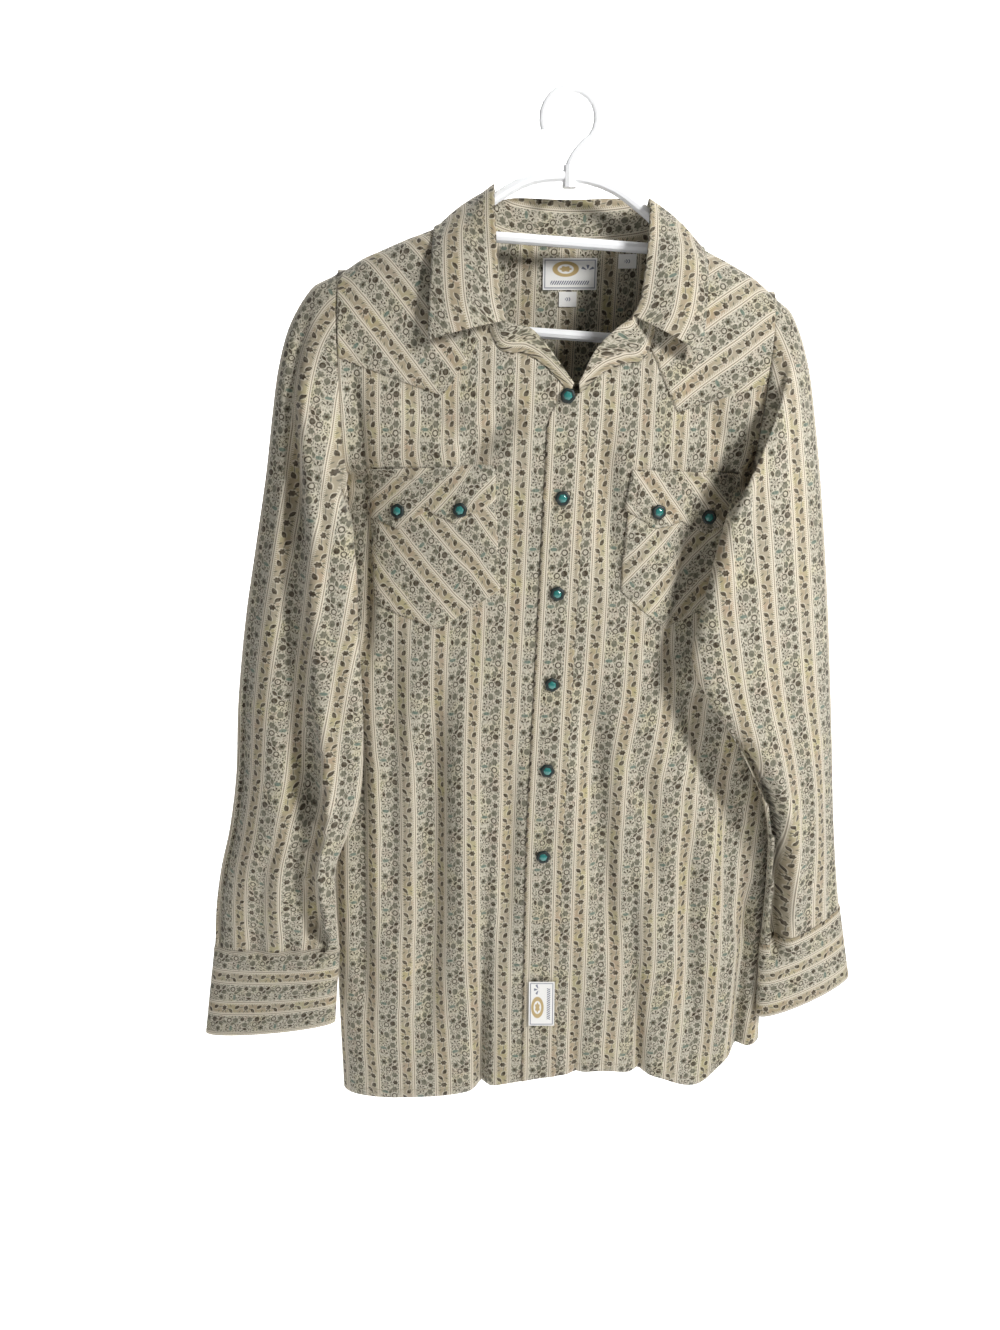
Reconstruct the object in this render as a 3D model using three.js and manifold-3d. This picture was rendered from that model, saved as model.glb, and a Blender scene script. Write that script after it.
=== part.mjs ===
// A long-sleeved western snap shirt hanging on a tubular hanger, in millimetres, +Z up.
// The origin is where the hanger's hook bears on a rail. +X is to the right of someone facing the front.
// Wearer's right is -X. The front of the shirt faces -Y.
import * as THREE from "three";
import { mergeVertices } from "three/addons/utils/BufferGeometryUtils.js";
import Module from "manifold-3d";

const wasm = await Module();
wasm.setup();

// Cloth: one wall, and the gap left between pieces that meet or lie on each other
const WALL = 1.6;
const GAP = 0.3;
const LAYER = WALL + GAP;
const LABEL_WALL = 0.7;

// Hanger: a bent tube with a cross bar, a bottom bar and a hook, hanging a little down to one side
const TUBE_RADIUS = 4.7;
const TILT = 0.07;
const BOTTOM_BAR_Z = -196.6;
const BOTTOM_BAR_REACH = 155;
const CROSS_BAR_Z = -119;
const CROSS_BAR_REACH = 101;
const HOOK_INNER_RADIUS = 20;
const HOOK_WIRE_RADIUS = 3.5;
const HOOK_FOOT_Z = -70;
const HOOK_NECK_Z = -56;
const HOOK_TURN = { from: -62, to: 202, step: 22 };
const BOSS = { top: 5.5, bottom: 6.5, height: 18, z: -66 };

// The tube's centre line from the hook outwards. The cloth's shoulder goes on past the tube's reach.
const HANGER_REACH = 168;
const SHOULDER = [
  { x: 0, z: -65.5 },
  { x: 35, z: -71 },
  { x: 66, z: -89 },
  { x: 103, z: -118.5 },
  { x: 145, z: -138 },
  { x: 168, z: -149 },
  { x: 215, z: -171 },
];
const HANGER_CORNER = [
  { x: 179, z: -159 },
  { x: 183, z: -172 },
  { x: 177, z: -188 },
  { x: 162, z: BOTTOM_BAR_Z },
  { x: 150, z: BOTTOM_BAR_Z },
];

// Body: its edges at armholes and side seams, the line of the snaps, and the two hems
const SIDES = [
  { z: -120, left: -201, right: 183.5 },
  { z: -160, left: -201, right: 181 },
  { z: -318, left: -202, right: 171 },
  { z: -400, left: -206, right: 183 },
  { z: -500, left: -213, right: 196 },
  { z: -620, left: -221, right: 207 },
  { z: -720, left: -228, right: 214 },
  { z: -830, left: -229, right: 213 },
  { z: -970, left: -228, right: 216 },
];
const CENTRE = [
  { z: -100, x: 4 },
  { z: -247, x: -1 },
  { z: -423, x: -8 },
  { z: -594, x: -15 },
  { z: -683, x: -18 },
  { z: -940, x: -21 },
];
const FRONT_HEM = [
  { x: -229, z: -968 },
  { x: -157, z: -961 },
  { x: -107, z: -954 },
  { x: -60, z: -942 },
  { x: 0, z: -931 },
  { x: 47, z: -926 },
  { x: 97, z: -933 },
  { x: 144, z: -946 },
  { x: 182, z: -916 },
  { x: 216, z: -908 },
];
const BACK_HEM = [
  { x: -229, z: -968 },
  { x: -110, z: -962 },
  { x: 0, z: -958 },
  { x: 110, z: -944 },
  { x: 216, z: -908 },
];
const UNDERARM_Z = -318;
const RIDGE_RISE = 7.3;
const RIDGE_RADIUS = 10;
const SIDE_ROUNDNESS = 3;
const SIDE_TURN_LENGTH = 150;
const DEEPEST_FOLD = 0.6;

// How far each face stands from the hanger's plane: deepest, at the armhole, and how fast it gets there
const FRONT = { sign: -1, deepest: 46, armhole: 34, slope: 55 };
const BACK = { sign: 1, deepest: 34, armhole: 26, slope: 60 };

// Troughs, by their share of the way from the snap line to the edge at the top and at the bottom
const FRONT_FOLDS = [
  { name: "wearer's right front", u0: -0.25, u1: -0.285, z0: -560, z1: -960, width: 7, depth: 15 },
  { name: "wearer's left front", u0: 0.33, u1: 0.45, z0: -540, z1: -940, width: 8, depth: 13 },
  { name: "beside the placket", u0: 0.14, u1: 0.165, z0: -770, z1: -930, width: 6, depth: 5 },
  { name: "wearer's left side", u0: 0.905, u1: 0.89, z0: -610, z1: -900, width: 8, depth: 17 },
];
const BACK_FOLDS = [
  { name: "wearer's right back", u0: -0.42, u1: -0.48, z0: -420, z1: -955, width: 10, depth: 12 },
  { name: "centre back", u0: 0.06, u1: 0.1, z0: -520, z1: -955, width: 9, depth: 9 },
  { name: "wearer's left back", u0: 0.5, u1: 0.56, z0: -460, z1: -945, width: 10, depth: 13 },
];

// Snaps down the placket, from the top one, and one on each point of the flaps
const SNAP_HEIGHTS = [-249, -337, -423, -509, -594, -683];
const SNAP_RADIUS = 6.2;
const SNAP_LIFT = 0.5;
const SNAP_PROFILE = [[0, 0], [1, 0], [1, 1.4], [0.76, 1.9], [0.5, 3.1], [0, 3.6]];
const PLACKET_HALF = 17;
const PLACKET = { top: -238, full: -275, narrowing: 14, seamAllowance: 2 };
const FRONT_HEIGHTS = [-150, -247, -337, -423, -509, -594, -683, -820, -1000];
const PLACKET_HEIGHTS = [-236, -250, -262, -285, -337, -423, -509, -594, -683, -820, -1000];
const FLAP_SNAPS = [
  { name: "snap_flap_right_outer", x: -149, z: -351 },
  { name: "snap_flap_right_inner", x: -94, z: -348 },
  { name: "snap_flap_left_inner", x: 80, z: -350 },
  { name: "snap_flap_left_outer", x: 129, z: -357 },
];

// Outlines seen from the front, corner by corner
const YOKE_RIGHT = [[-240, -40], [-240, -206], [-201, -217], [-110, -249], [-66, -187], [-40, -40]];
const YOKE_LEFT = [[240, -40], [240, -222], [171, -240], [95, -263], [60, -187], [40, -40]];
const BACK_YOKE = [
  [-240, -40], [-240, -236], [-201, -236], [-100, -214], [-8, -262],
  [88, -216], [172, -240], [240, -240], [240, -40],
];
const POCKET_RIGHT = [[-178, -318], [-175, -436], [-117, -457], [-60, -420], [-64, -316]];
const POCKET_LEFT = [[57, -318], [50, -421], [93, -459], [153, -430], [161, -322]];
const FLAP_RIGHT = [
  [-179, -312], [-180, -356], [-151, -367], [-125, -349], [-99, -361], [-63, -339], [-64, -309],
];
const FLAP_LEFT = [[57, -312], [52, -347], [80, -365], [104, -359], [128, -372], [160, -356], [162, -316]];
const PLACKET_LABEL = { x: -18, z: -844.5, width: 26, height: 50 };
const NECK_LABEL = { x: 3.5, z: -142.5, width: 49, height: 27 };
const SIZE_TAB = { x: 2, z: -164, width: 16, height: 13 };
const CARE_TAG = { x: 55, z: -132, width: 16, height: 12 };

// Collar, from its wearer's right end round the back to its left end: the neck seam (its depth comes
// from the panel it is sewn to), the roll line, and the outer edge of the leaf
const COLLAR = [
  { seamX: 1, seamZ: -247, rollX: 4, rollY: -47, rollZ: -238 },
  { seamX: -20, seamZ: -225, rollX: -18, rollY: -48, rollZ: -209 },
  { seamX: -38, seamZ: -214, rollX: -34, rollY: -49, rollZ: -193 },
  { seamX: -62, seamZ: -208, rollX: -55, rollY: -51, rollZ: -187, edgeX: -121, edgeY: -54, edgeZ: -203 },
  { seamX: -76, seamZ: -165, rollX: -60, rollY: -48, rollZ: -165, edgeX: -120, edgeY: -48, edgeZ: -170 },
  { seamX: -82, seamZ: -125, rollX: -63, rollY: -29, rollZ: -120, edgeX: -118, edgeY: -32, edgeZ: -132 },
  { seamX: -84, seamZ: -89.5, rollX: -65, rollY: -4, rollZ: -76, edgeX: -116, edgeY: 0, edgeZ: -108 },
  { seamX: -76, seamZ: -104, rollX: -62, rollY: 15, rollZ: -83, edgeX: -104, edgeY: 24, edgeZ: -122 },
  { seamX: -48, seamZ: -115, rollX: -45, rollY: 25, rollZ: -79, edgeX: -62, edgeY: 36, edgeZ: -136 },
  { seamX: 0, seamZ: -120, rollX: 1, rollY: 28, rollZ: -80, edgeX: 1, edgeY: 39, edgeZ: -140 },
  { seamX: 48, seamZ: -118, rollX: 50, rollY: 25, rollZ: -80, edgeX: 64, edgeY: 36, edgeZ: -140 },
  { seamX: 78, seamZ: -113, rollX: 67, rollY: 15, rollZ: -91, edgeX: 106, edgeY: 24, edgeZ: -134 },
  { seamX: 87, seamZ: -101, rollX: 69, rollY: -4, rollZ: -85, edgeX: 117, edgeY: 0, edgeZ: -124 },
  { seamX: 85, seamZ: -135, rollX: 66, rollY: -29, rollZ: -124, edgeX: 118, edgeY: -32, edgeZ: -146 },
  { seamX: 79, seamZ: -172, rollX: 59, rollY: -48, rollZ: -168, edgeX: 115, edgeY: -48, edgeZ: -182 },
  { seamX: 66, seamZ: -215, rollX: 52, rollY: -53, rollZ: -183, edgeX: 112, edgeY: -55, edgeZ: -214 },
  { seamX: 48, seamZ: -222, rollX: 37, rollY: -53, rollZ: -195 },
  { seamX: 30, seamZ: -229, rollX: 22, rollY: -52, rollZ: -210 },
  { seamX: 9, seamZ: -247, rollX: 8, rollY: -49, rollZ: -238 },
];
const SHOULDER_RIGHT = 6;
const SHOULDER_LEFT = 12;
const LEAF_FIRST = 3;
const LEAF_LAST = 15;
const SEAM_CLEARANCE = 0.7;
const LEAF_LIFT = 0.8;
const LEAF_ARCH = 4;
const LEAF_OUT = { x: 0.15, z: 6 };
const LEAF_CLEARANCE = 5.4;
const LEAF_MIDDLE_DROP = 30;

// Sleeves, section by section from the armhole: the outer and inner edges, how far the cloth stands
// in front of and behind the line between them. The last two rows are the cuff.
const SLEEVE_RIGHT = [
  { outX: -202.3, outY: 0, outZ: -146, inX: -205, inY: 0, inZ: -320, front: 34, back: 26 },
  { outX: -225, outY: -2, outZ: -160, inX: -206, inY: -8, inZ: -333, front: 33, back: 27 },
  { outX: -245, outY: -4, outZ: -188, inX: -205, inY: -21, inZ: -347, front: 31, back: 27 },
  { outX: -257, outY: -5, outZ: -224, inX: -199.5, inY: -31, inZ: -364, front: 29, back: 26 },
  { outX: -265, outY: -6, outZ: -266, inX: -196, inY: -39, inZ: -386, front: 26, back: 25 },
  { outX: -274, outY: -7, outZ: -321, inX: -193.5, inY: -45, inZ: -420, front: 24, back: 24 },
  { outX: -287, outY: -8, outZ: -386, inX: -192, inY: -48, inZ: -460, front: 23, back: 23 },
  { outX: -301, outY: -8, outZ: -456, inX: -190, inY: -50, inZ: -505, front: 22, back: 23 },
  { outX: -313, outY: -8, outZ: -536, inX: -190, inY: -52, inZ: -560, front: 22, back: 22 },
  { outX: -320, outY: -8, outZ: -611, inX: -194, inY: -52, inZ: -615, front: 22, back: 22 },
  { outX: -330, outY: -8, outZ: -668, inX: -207, inY: -50, inZ: -655, front: 21, back: 21 },
  { outX: -342, outY: -8, outZ: -714, inX: -222, inY: -46, inZ: -695, front: 19, back: 20 },
  { outX: -350, outY: -8, outZ: -757, inX: -224, inY: -42, inZ: -742, front: 16, back: 17 },
  { outX: -355, outY: -8, outZ: -804, inX: -224, inY: -38, inZ: -788, front: 12, back: 13 },
  { outX: -363, outY: -8, outZ: -854, inX: -228, inY: -38, inZ: -830, front: 11, back: 12 },
  { outX: -371, outY: -8, outZ: -905, inX: -232, inY: -38, inZ: -872, front: 12, back: 13 },
];
const SLEEVE_LEFT = [
  { outX: 182.8, outY: 0, outZ: -163, inX: 174.3, inY: 0, inZ: -320, front: 34, back: 26 },
  { outX: 196, outY: -4, outZ: -178, inX: 176, inY: -9.6, inZ: -333, front: 33, back: 27 },
  { outX: 206, outY: -7, outZ: -199, inX: 168, inY: -31, inZ: -344, front: 31, back: 26 },
  { outX: 215, outY: -10, outZ: -229, inX: 155, inY: -50, inZ: -359, front: 29, back: 25 },
  { outX: 222, outY: -12, outZ: -266, inX: 141, inY: -65, inZ: -378, front: 26, back: 24 },
  { outX: 230, outY: -15, outZ: -316, inX: 132, inY: -74, inZ: -403, front: 24, back: 23 },
  { outX: 238, outY: -18, outZ: -376, inX: 121, inY: -81, inZ: -437, front: 23, back: 23 },
  { outX: 246, outY: -20, outZ: -441, inX: 114.5, inY: -83, inZ: -479, front: 22, back: 22 },
  { outX: 255, outY: -20, outZ: -520, inX: 133, inY: -80, inZ: -519, front: 22, back: 22 },
  { outX: 262, outY: -18, outZ: -581, inX: 162, inY: -74, inZ: -563, front: 22, back: 22 },
  { outX: 269, outY: -14, outZ: -640, inX: 190, inY: -58, inZ: -618, front: 21, back: 24 },
  { outX: 276, outY: -10, outZ: -689, inX: 203, inY: -43, inZ: -666, front: 20, back: 25 },
  { outX: 282, outY: -8, outZ: -727, inX: 206, inY: -36, inZ: -722, front: 18, back: 22 },
  { outX: 287, outY: -8, outZ: -757, inX: 206, inY: -32, inZ: -787, front: 16, back: 20 },
  { outX: 295, outY: -8, outZ: -797, inX: 207, inY: -30, inZ: -829, front: 14, back: 18 },
  { outX: 303, outY: -8, outZ: -837, inX: 208, inY: -28, inZ: -871, front: 14, back: 18 },
];
const ELBOW_ROW = 6.5;
const CUFF_ROW = 13;
const SEAM_HALF_ROW = 0.006;
const SLEEVE_CLEARANCE = 8.5;
const SLEEVE_EDGE_SHARE = 0.985;
const ARMHOLE_GAP = { side: 1.2, underarm: 2.4, over: 35 };

// Troughs in the sleeves: rows from and to, angle round the tube at each (0 is the outer edge,
// 90 the front, 180 the inner edge), angular width, depth
const SLEEVE_FOLDS = {
  right: [
    { name: "long inner valley", r0: 5.6, r1: 12.9, a0: 108, a1: 127, width: 15, depth: 17 },
    { name: "outer crease", r0: 7, r1: 13, a0: 36, a1: 24, width: 9, depth: 5 },
    { name: "back valley", r0: 5, r1: 12.5, a0: 262, a1: 245, width: 17, depth: 10 },
  ],
  left: [
    { name: "fold behind the elbow", r0: 8.7, r1: 13.4, a0: 158, a1: 133, width: 17, depth: 20 },
    { name: "back valley", r0: 4.5, r1: 12, a0: 262, a1: 250, width: 17, depth: 11 },
  ],
};
const FOLD_RAMP = { in: 0.35, out: 0.88, end: 1.06 };
const CUFF_SNAPS = { rows: [14.1, 14.8], angle: 300 };

// Fineness of the grids
const FRONT_COLUMNS = 18;
const BACK_COLUMNS = 14;
const FOLD_COLUMN_WIDTH = 0.035;
const LEAST_COLUMN_WIDTH = 0.016;
const FIRST_GUESS = { top: -150, bottom: -940 };
const DROPS = [0, 0.002, 0.006, 0.013, 0.032, 0.062, 0.1, 0.145, 0.19, 0.24, 0.3];
const LOWER_ROWS = 8;
const UPPER_ROWS = 14;
const FOREARM_ROWS = 9;
const SLEEVE_SIDES = 20;
const CUFF_ROWS = 3;
const COLLAR_STEPS = 2;
const STAND_ACROSS = [0, 0.5, 1];
const LEAF_ACROSS = [0, 0.12, 0.35, 0.65, 1];
const TUBE_SIDES = 10;
const ARM_STEPS = 44;
const HOOK_STEPS = 20;
const SNAP_SIDES = 10;
const SHOULDER_STEPS = [-0.3, -0.15, 0.15, 0.3];

const CLOTH_COLOUR = 0xb5a78e;
const LABEL_COLOUR = 0xe9e6df;
const HANGER_COLOUR = 0xf2f3f4;
const SNAP_COLOUR = 0x1f6f66;

// Value of a smooth curve through a table's rows, read by one column and giving another
function follow(rows, by, column, at) {
  const rising = rows[rows.length - 1][by] > rows[0][by] ? 1 : -1;
  const last = rows.length - 1;
  let i = 0;
  while (i < last - 1 && (rows[i + 1][by] - at) * rising < 0) i++;
  const a = rows[i];
  const b = rows[i + 1];
  const before = rows[Math.max(i - 1, 0)];
  const after = rows[Math.min(i + 2, last)];
  const span = b[by] - a[by];
  const slopeA = (b[column] - before[column]) / (b[by] - before[by]);
  const slopeB = (after[column] - a[column]) / (after[by] - a[by]);
  const t = (at - a[by]) / span;
  if (t < 0) return a[column] + slopeA * (at - a[by]);
  if (t > 1) return b[column] + slopeB * (at - b[by]);
  const rise = b[column] - a[column];
  const bend = (1 - t) * (slopeA * span - rise) - t * (slopeB * span - rise);
  return a[column] + rise * t + t * (1 - t) * bend;
}

// The same, for rows read by their place in the table
function followRow(rows, column, at) {
  const i = Math.min(Math.max(Math.floor(at), 0), rows.length - 2);
  const t = at - i;
  const before = rows[Math.max(i - 1, 0)][column];
  const a = rows[i][column];
  const b = rows[i + 1][column];
  const after = rows[Math.min(i + 2, rows.length - 1)][column];
  const slopeA = i === 0 ? b - a : (b - before) / 2;
  const slopeB = i === rows.length - 2 ? b - a : (after - a) / 2;
  const bend = (1 - t) * (slopeA - (b - a)) - t * (slopeB - (b - a));
  return a + (b - a) * t + t * (1 - t) * bend;
}

function smoothstep(low, high, value) {
  const t = Math.min(Math.max((value - low) / (high - low), 0), 1);
  return t * t * (3 - 2 * t);
}

// Height of the hanger's centre line, and of the cloth's inner face on top of it
function hangerZ(x) {
  return follow(SHOULDER, "x", "z", Math.abs(x)) - TILT * x;
}

function ridgeZ(x) {
  return hangerZ(x) + RIDGE_RISE;
}

// Share of the way from the snap line to the edge: -1 at the wearer's right, 1 at the left
function shareAt(x, z) {
  const centre = follow(CENTRE, "z", "x", z);
  const edge = follow(SIDES, "z", x < centre ? "left" : "right", z);
  return (Math.sign(x - centre) * (x - centre)) / (edge - centre);
}

function xAt(share, z) {
  const centre = follow(CENTRE, "z", "x", z);
  const edge = follow(SIDES, "z", share < 0 ? "left" : "right", z);
  return centre + Math.abs(share) * (edge - centre);
}

// Depth of the soft troughs of a panel at a point
function foldDepth(folds, x, z) {
  let depth = 0;
  for (const fold of folds) {
    const along = (fold.z0 - z) / (fold.z0 - fold.z1);
    const share = fold.u0 + (fold.u1 - fold.u0) * along;
    const off = (x - xAt(share, z)) / fold.width;
    depth += fold.depth * smoothstep(0, 1, along) * Math.exp(-off * off);
  }
  return depth;
}

// Y of the inner face of the front or back panel
function panelY(panel, folds, x, z) {
  const share = Math.min(Math.abs(shareAt(x, z)), 1);
  const drop = Math.max(ridgeZ(x) - z, 0);
  const rest = Math.max(1 - drop / RIDGE_RADIUS, 0);
  const top = RIDGE_RADIUS * Math.sqrt(1 - rest * rest);
  const deep = top + (panel.deepest - RIDGE_RADIUS) * (1 - Math.exp(-drop / panel.slope));
  const down = Math.min(drop / (ridgeZ(x) - UNDERARM_Z), 1);
  const edge = Math.min(deep, panel.armhole * 2 * Math.sqrt(down * (1 - down)));
  const flat = 1 - share ** SIDE_ROUNDNESS;
  const below = smoothstep(UNDERARM_Z, UNDERARM_Z - SIDE_TURN_LENGTH, z);
  const turn = flat * (1 - below) + flat ** (1 / SIDE_ROUNDNESS) * below;
  const out = edge + (deep - edge) * turn;
  const fold = Math.min(foldDepth(folds, x, z), out * DEEPEST_FOLD);
  return panel.sign * (GAP / 2 + out - fold);
}

const frontY = (x, z) => panelY(FRONT, FRONT_FOLDS, x, z);
const backY = (x, z) => panelY(BACK, BACK_FOLDS, x, z);

// Columns of a panel's grid: even ones, closer at the edges, and four at each fold
function columns(count, folds) {
  const found = [];
  for (let i = 0; i <= count; i++) found.push(Math.sin((i / count - 0.5) * Math.PI));
  for (const fold of folds) {
    for (const step of [-1.5, -0.5, 0.5, 1.5]) found.push((fold.u0 + fold.u1) / 2 + step * FOLD_COLUMN_WIDTH);
  }
  found.sort((a, b) => a - b);
  const kept = found.filter((u, i) => i === 0 || u - found[i - 1] > LEAST_COLUMN_WIDTH);
  kept[0] = -1;
  kept[kept.length - 1] = 1;
  return kept;
}

// Grid of a panel's inner face from the shoulder ridge to the hem, each point with its outward normal
function panelGrid(panel, folds, hem, count) {
  const rows = [...DROPS];
  const first = DROPS[DROPS.length - 1];
  for (let i = 1; i <= LOWER_ROWS; i++) rows.push(first + ((1 - first) * i) / LOWER_ROWS);
  const surface = (share, fraction) => {
    let top = FIRST_GUESS.top;
    let bottom = FIRST_GUESS.bottom;
    for (let i = 0; i < 5; i++) {
      top = ridgeZ(xAt(share, top));
      bottom = follow(hem, "x", "z", xAt(share, bottom));
    }
    const z = top + (bottom - top) * fraction;
    const x = xAt(share, z);
    return new THREE.Vector3(x, panelY(panel, folds, x, z), z);
  };
  return rows.map((fraction) =>
    columns(count, folds).map((share) => {
      const step = 0.0004;
      const inward = share > 0 ? -1 : 1;
      const across = surface(share + inward * step, fraction).sub(surface(share, fraction));
      const lower = Math.min(fraction + step, 1);
      const down = surface(share, lower).sub(surface(share, lower - step));
      const normal = across.cross(down).normalize();
      if (normal.y * panel.sign < -1e-9) normal.negate();
      if (fraction === 0) normal.set(0, 0, 1);
      return { point: surface(share, fraction), normal };
    }),
  );
}

// Closed wall between two distances from a grid of points; a ring's last column joins its first
function wall(grid, inner, outer, ring = false) {
  const rows = grid.length;
  const cols = grid[0].length;
  const positions = [];
  for (const distance of [inner, outer]) {
    for (const row of grid) {
      for (const { point, normal } of row) {
        positions.push(...point.clone().addScaledVector(normal, distance).toArray());
      }
    }
  }
  const index = [];
  const at = (layer, row, col) => layer * rows * cols + row * cols + (col % cols);
  const quad = (a, b, c, d) => index.push(a, b, c, a, c, d);
  const spans = ring ? cols : cols - 1;
  for (let r = 0; r < rows - 1; r++) {
    for (let c = 0; c < spans; c++) {
      quad(at(1, r, c), at(1, r + 1, c), at(1, r + 1, c + 1), at(1, r, c + 1));
      quad(at(0, r, c), at(0, r, c + 1), at(0, r + 1, c + 1), at(0, r + 1, c));
    }
  }
  for (let c = 0; c < spans; c++) {
    quad(at(0, 0, c), at(1, 0, c), at(1, 0, c + 1), at(0, 0, c + 1));
    quad(at(0, rows - 1, c + 1), at(1, rows - 1, c + 1), at(1, rows - 1, c), at(0, rows - 1, c));
  }
  for (let r = 0; r < rows - 1 && !ring; r++) {
    quad(at(0, r + 1, 0), at(1, r + 1, 0), at(1, r, 0), at(0, r, 0));
    quad(at(0, r, cols - 1), at(1, r, cols - 1), at(1, r + 1, cols - 1), at(0, r + 1, cols - 1));
  }
  const geometry = new THREE.BufferGeometry();
  geometry.setAttribute("position", new THREE.Float32BufferAttribute(positions, 3));
  geometry.setIndex(index);
  return turnedOut(geometry);
}

// The geometry with its faces turned to point outwards
function turnedOut(geometry) {
  const p = geometry.attributes.position;
  const index = geometry.index.array;
  const a = new THREE.Vector3();
  const b = new THREE.Vector3();
  const c = new THREE.Vector3();
  let volume = 0;
  for (let i = 0; i < index.length; i += 3) {
    a.fromBufferAttribute(p, index[i]);
    b.fromBufferAttribute(p, index[i + 1]);
    c.fromBufferAttribute(p, index[i + 2]);
    volume += a.dot(b.cross(c));
  }
  for (let i = 0; i < index.length && volume < 0; i += 3) {
    [index[i + 1], index[i + 2]] = [index[i + 2], index[i + 1]];
  }
  return geometry;
}

function solidOf(geometry) {
  const bare = geometry.clone();
  bare.deleteAttribute("normal");
  bare.deleteAttribute("uv");
  const merged = mergeVertices(bare, 1e-4);
  return new wasm.Manifold(
    new wasm.Mesh({
      numProp: 3,
      vertProperties: merged.attributes.position.array,
      triVerts: new Uint32Array(merged.index.array),
    }),
  );
}

function geometryOf(solid) {
  const mesh = solid.getMesh();
  const geometry = new THREE.BufferGeometry();
  geometry.setAttribute("position", new THREE.BufferAttribute(mesh.vertProperties, 3));
  geometry.setIndex(new THREE.BufferAttribute(mesh.triVerts, 1));
  geometry.computeVertexNormals();
  return geometry;
}

// Prism through the whole shirt over an outline seen from the front
function through(corners) {
  const depth = 400;
  const shape = new THREE.Shape(corners.map(([x, z]) => new THREE.Vector2(x, z)));
  const geometry = new THREE.ExtrudeGeometry(shape, { depth, bevelEnabled: false });
  geometry.rotateX(Math.PI / 2);
  geometry.translate(0, depth / 2, 0);
  return solidOf(geometry);
}

const group = new THREE.Group();

function add(name, geometry, colour, roughness, metalness = 0) {
  const material = new THREE.MeshStandardMaterial({ color: colour, roughness, metalness });
  const mesh = new THREE.Mesh(geometry, material);
  mesh.name = name;
  group.add(mesh);
  return mesh;
}

const addCloth = (name, solid) => add(name, geometryOf(solid), CLOTH_COLOUR, 0.9);
const addLabel = (name, solid) => add(name, geometryOf(solid), LABEL_COLOUR, 0.6);

// Places along the collar between two of its rows, closer together at the shoulders
function collarPlaces(from, to) {
  const places = SHOULDER_STEPS.flatMap((step) => [SHOULDER_RIGHT + step, SHOULDER_LEFT + step]);
  for (let i = 0; i <= (COLLAR.length - 1) * COLLAR_STEPS; i++) places.push(i / COLLAR_STEPS);
  return places.filter((place) => place >= from && place <= to).sort((a, b) => a - b);
}

// The hole for the neck, bounded by the collar's seam: on the front by its two ends, on the back between them
function neckHole(panel) {
  const rim = (from, to) =>
    collarPlaces(from, to).map((place) => [
      followRow(COLLAR, "seamX", place),
      followRow(COLLAR, "seamZ", place),
    ]);
  const last = COLLAR.length - 1;
  const front = [...rim(0, SHOULDER_RIGHT).reverse(), ...rim(SHOULDER_LEFT, last).reverse()];
  const corners = panel === FRONT ? front : rim(SHOULDER_RIGHT, SHOULDER_LEFT);
  const start = corners[0][0];
  const end = corners[corners.length - 1][0];
  return [[start, 0], ...corners, [end, 0]];
}

// Outline of either front, from so far beside the snap line
function besideSnaps(offset, reach) {
  const line = FRONT_HEIGHTS.map((z) => [follow(CENTRE, "z", "x", z) + offset, z]);
  return [...line, [reach, FRONT_HEIGHTS[FRONT_HEIGHTS.length - 1]], [reach, FRONT_HEIGHTS[0]]];
}

// Outline of the placket's band along the snap line, with its top corner cut away
function placketBand() {
  const { top, full, narrowing, seamAllowance } = PLACKET;
  const along = (offset) => PLACKET_HEIGHTS.map((z) => [follow(CENTRE, "z", "x", z) + offset(z), z]);
  const edge = along((z) => narrowing * smoothstep(full, top, z) - PLACKET_HALF);
  const seam = along(() => PLACKET_HALF + seamAllowance).reverse();
  return [...edge, ...seam];
}

const rectangle = ({ x, z, width, height }) => [
  [x - width / 2, z - height / 2],
  [x + width / 2, z - height / 2],
  [x + width / 2, z + height / 2],
  [x - width / 2, z + height / 2],
];

// A snap's seat on the front's outer face, above so many layers of cloth
function onFront(x, z, layers) {
  const step = SNAP_RADIUS;
  const point = new THREE.Vector3(x, frontY(x, z), z);
  const across = new THREE.Vector3(2 * step, frontY(x + step, z) - frontY(x - step, z), 0);
  const up = new THREE.Vector3(0, frontY(x, z + step) - frontY(x, z - step), 2 * step);
  const normal = across.cross(up).normalize();
  if (normal.y > 0) normal.negate();
  return { point: point.addScaledVector(normal, layers * LAYER + SNAP_LIFT), normal };
}

// Snap cap: a pronged ring with a domed centre, on its back face
function snap(name, { point, normal }) {
  const profile = SNAP_PROFILE.map(([share, height]) => new THREE.Vector2(share * SNAP_RADIUS, height));
  const mesh = add(name, new THREE.LatheGeometry(profile, SNAP_SIDES), SNAP_COLOUR, 0.35, 0.2);
  mesh.quaternion.setFromUnitVectors(new THREE.Vector3(0, 1, 0), normal);
  mesh.position.copy(point);
}

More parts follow.
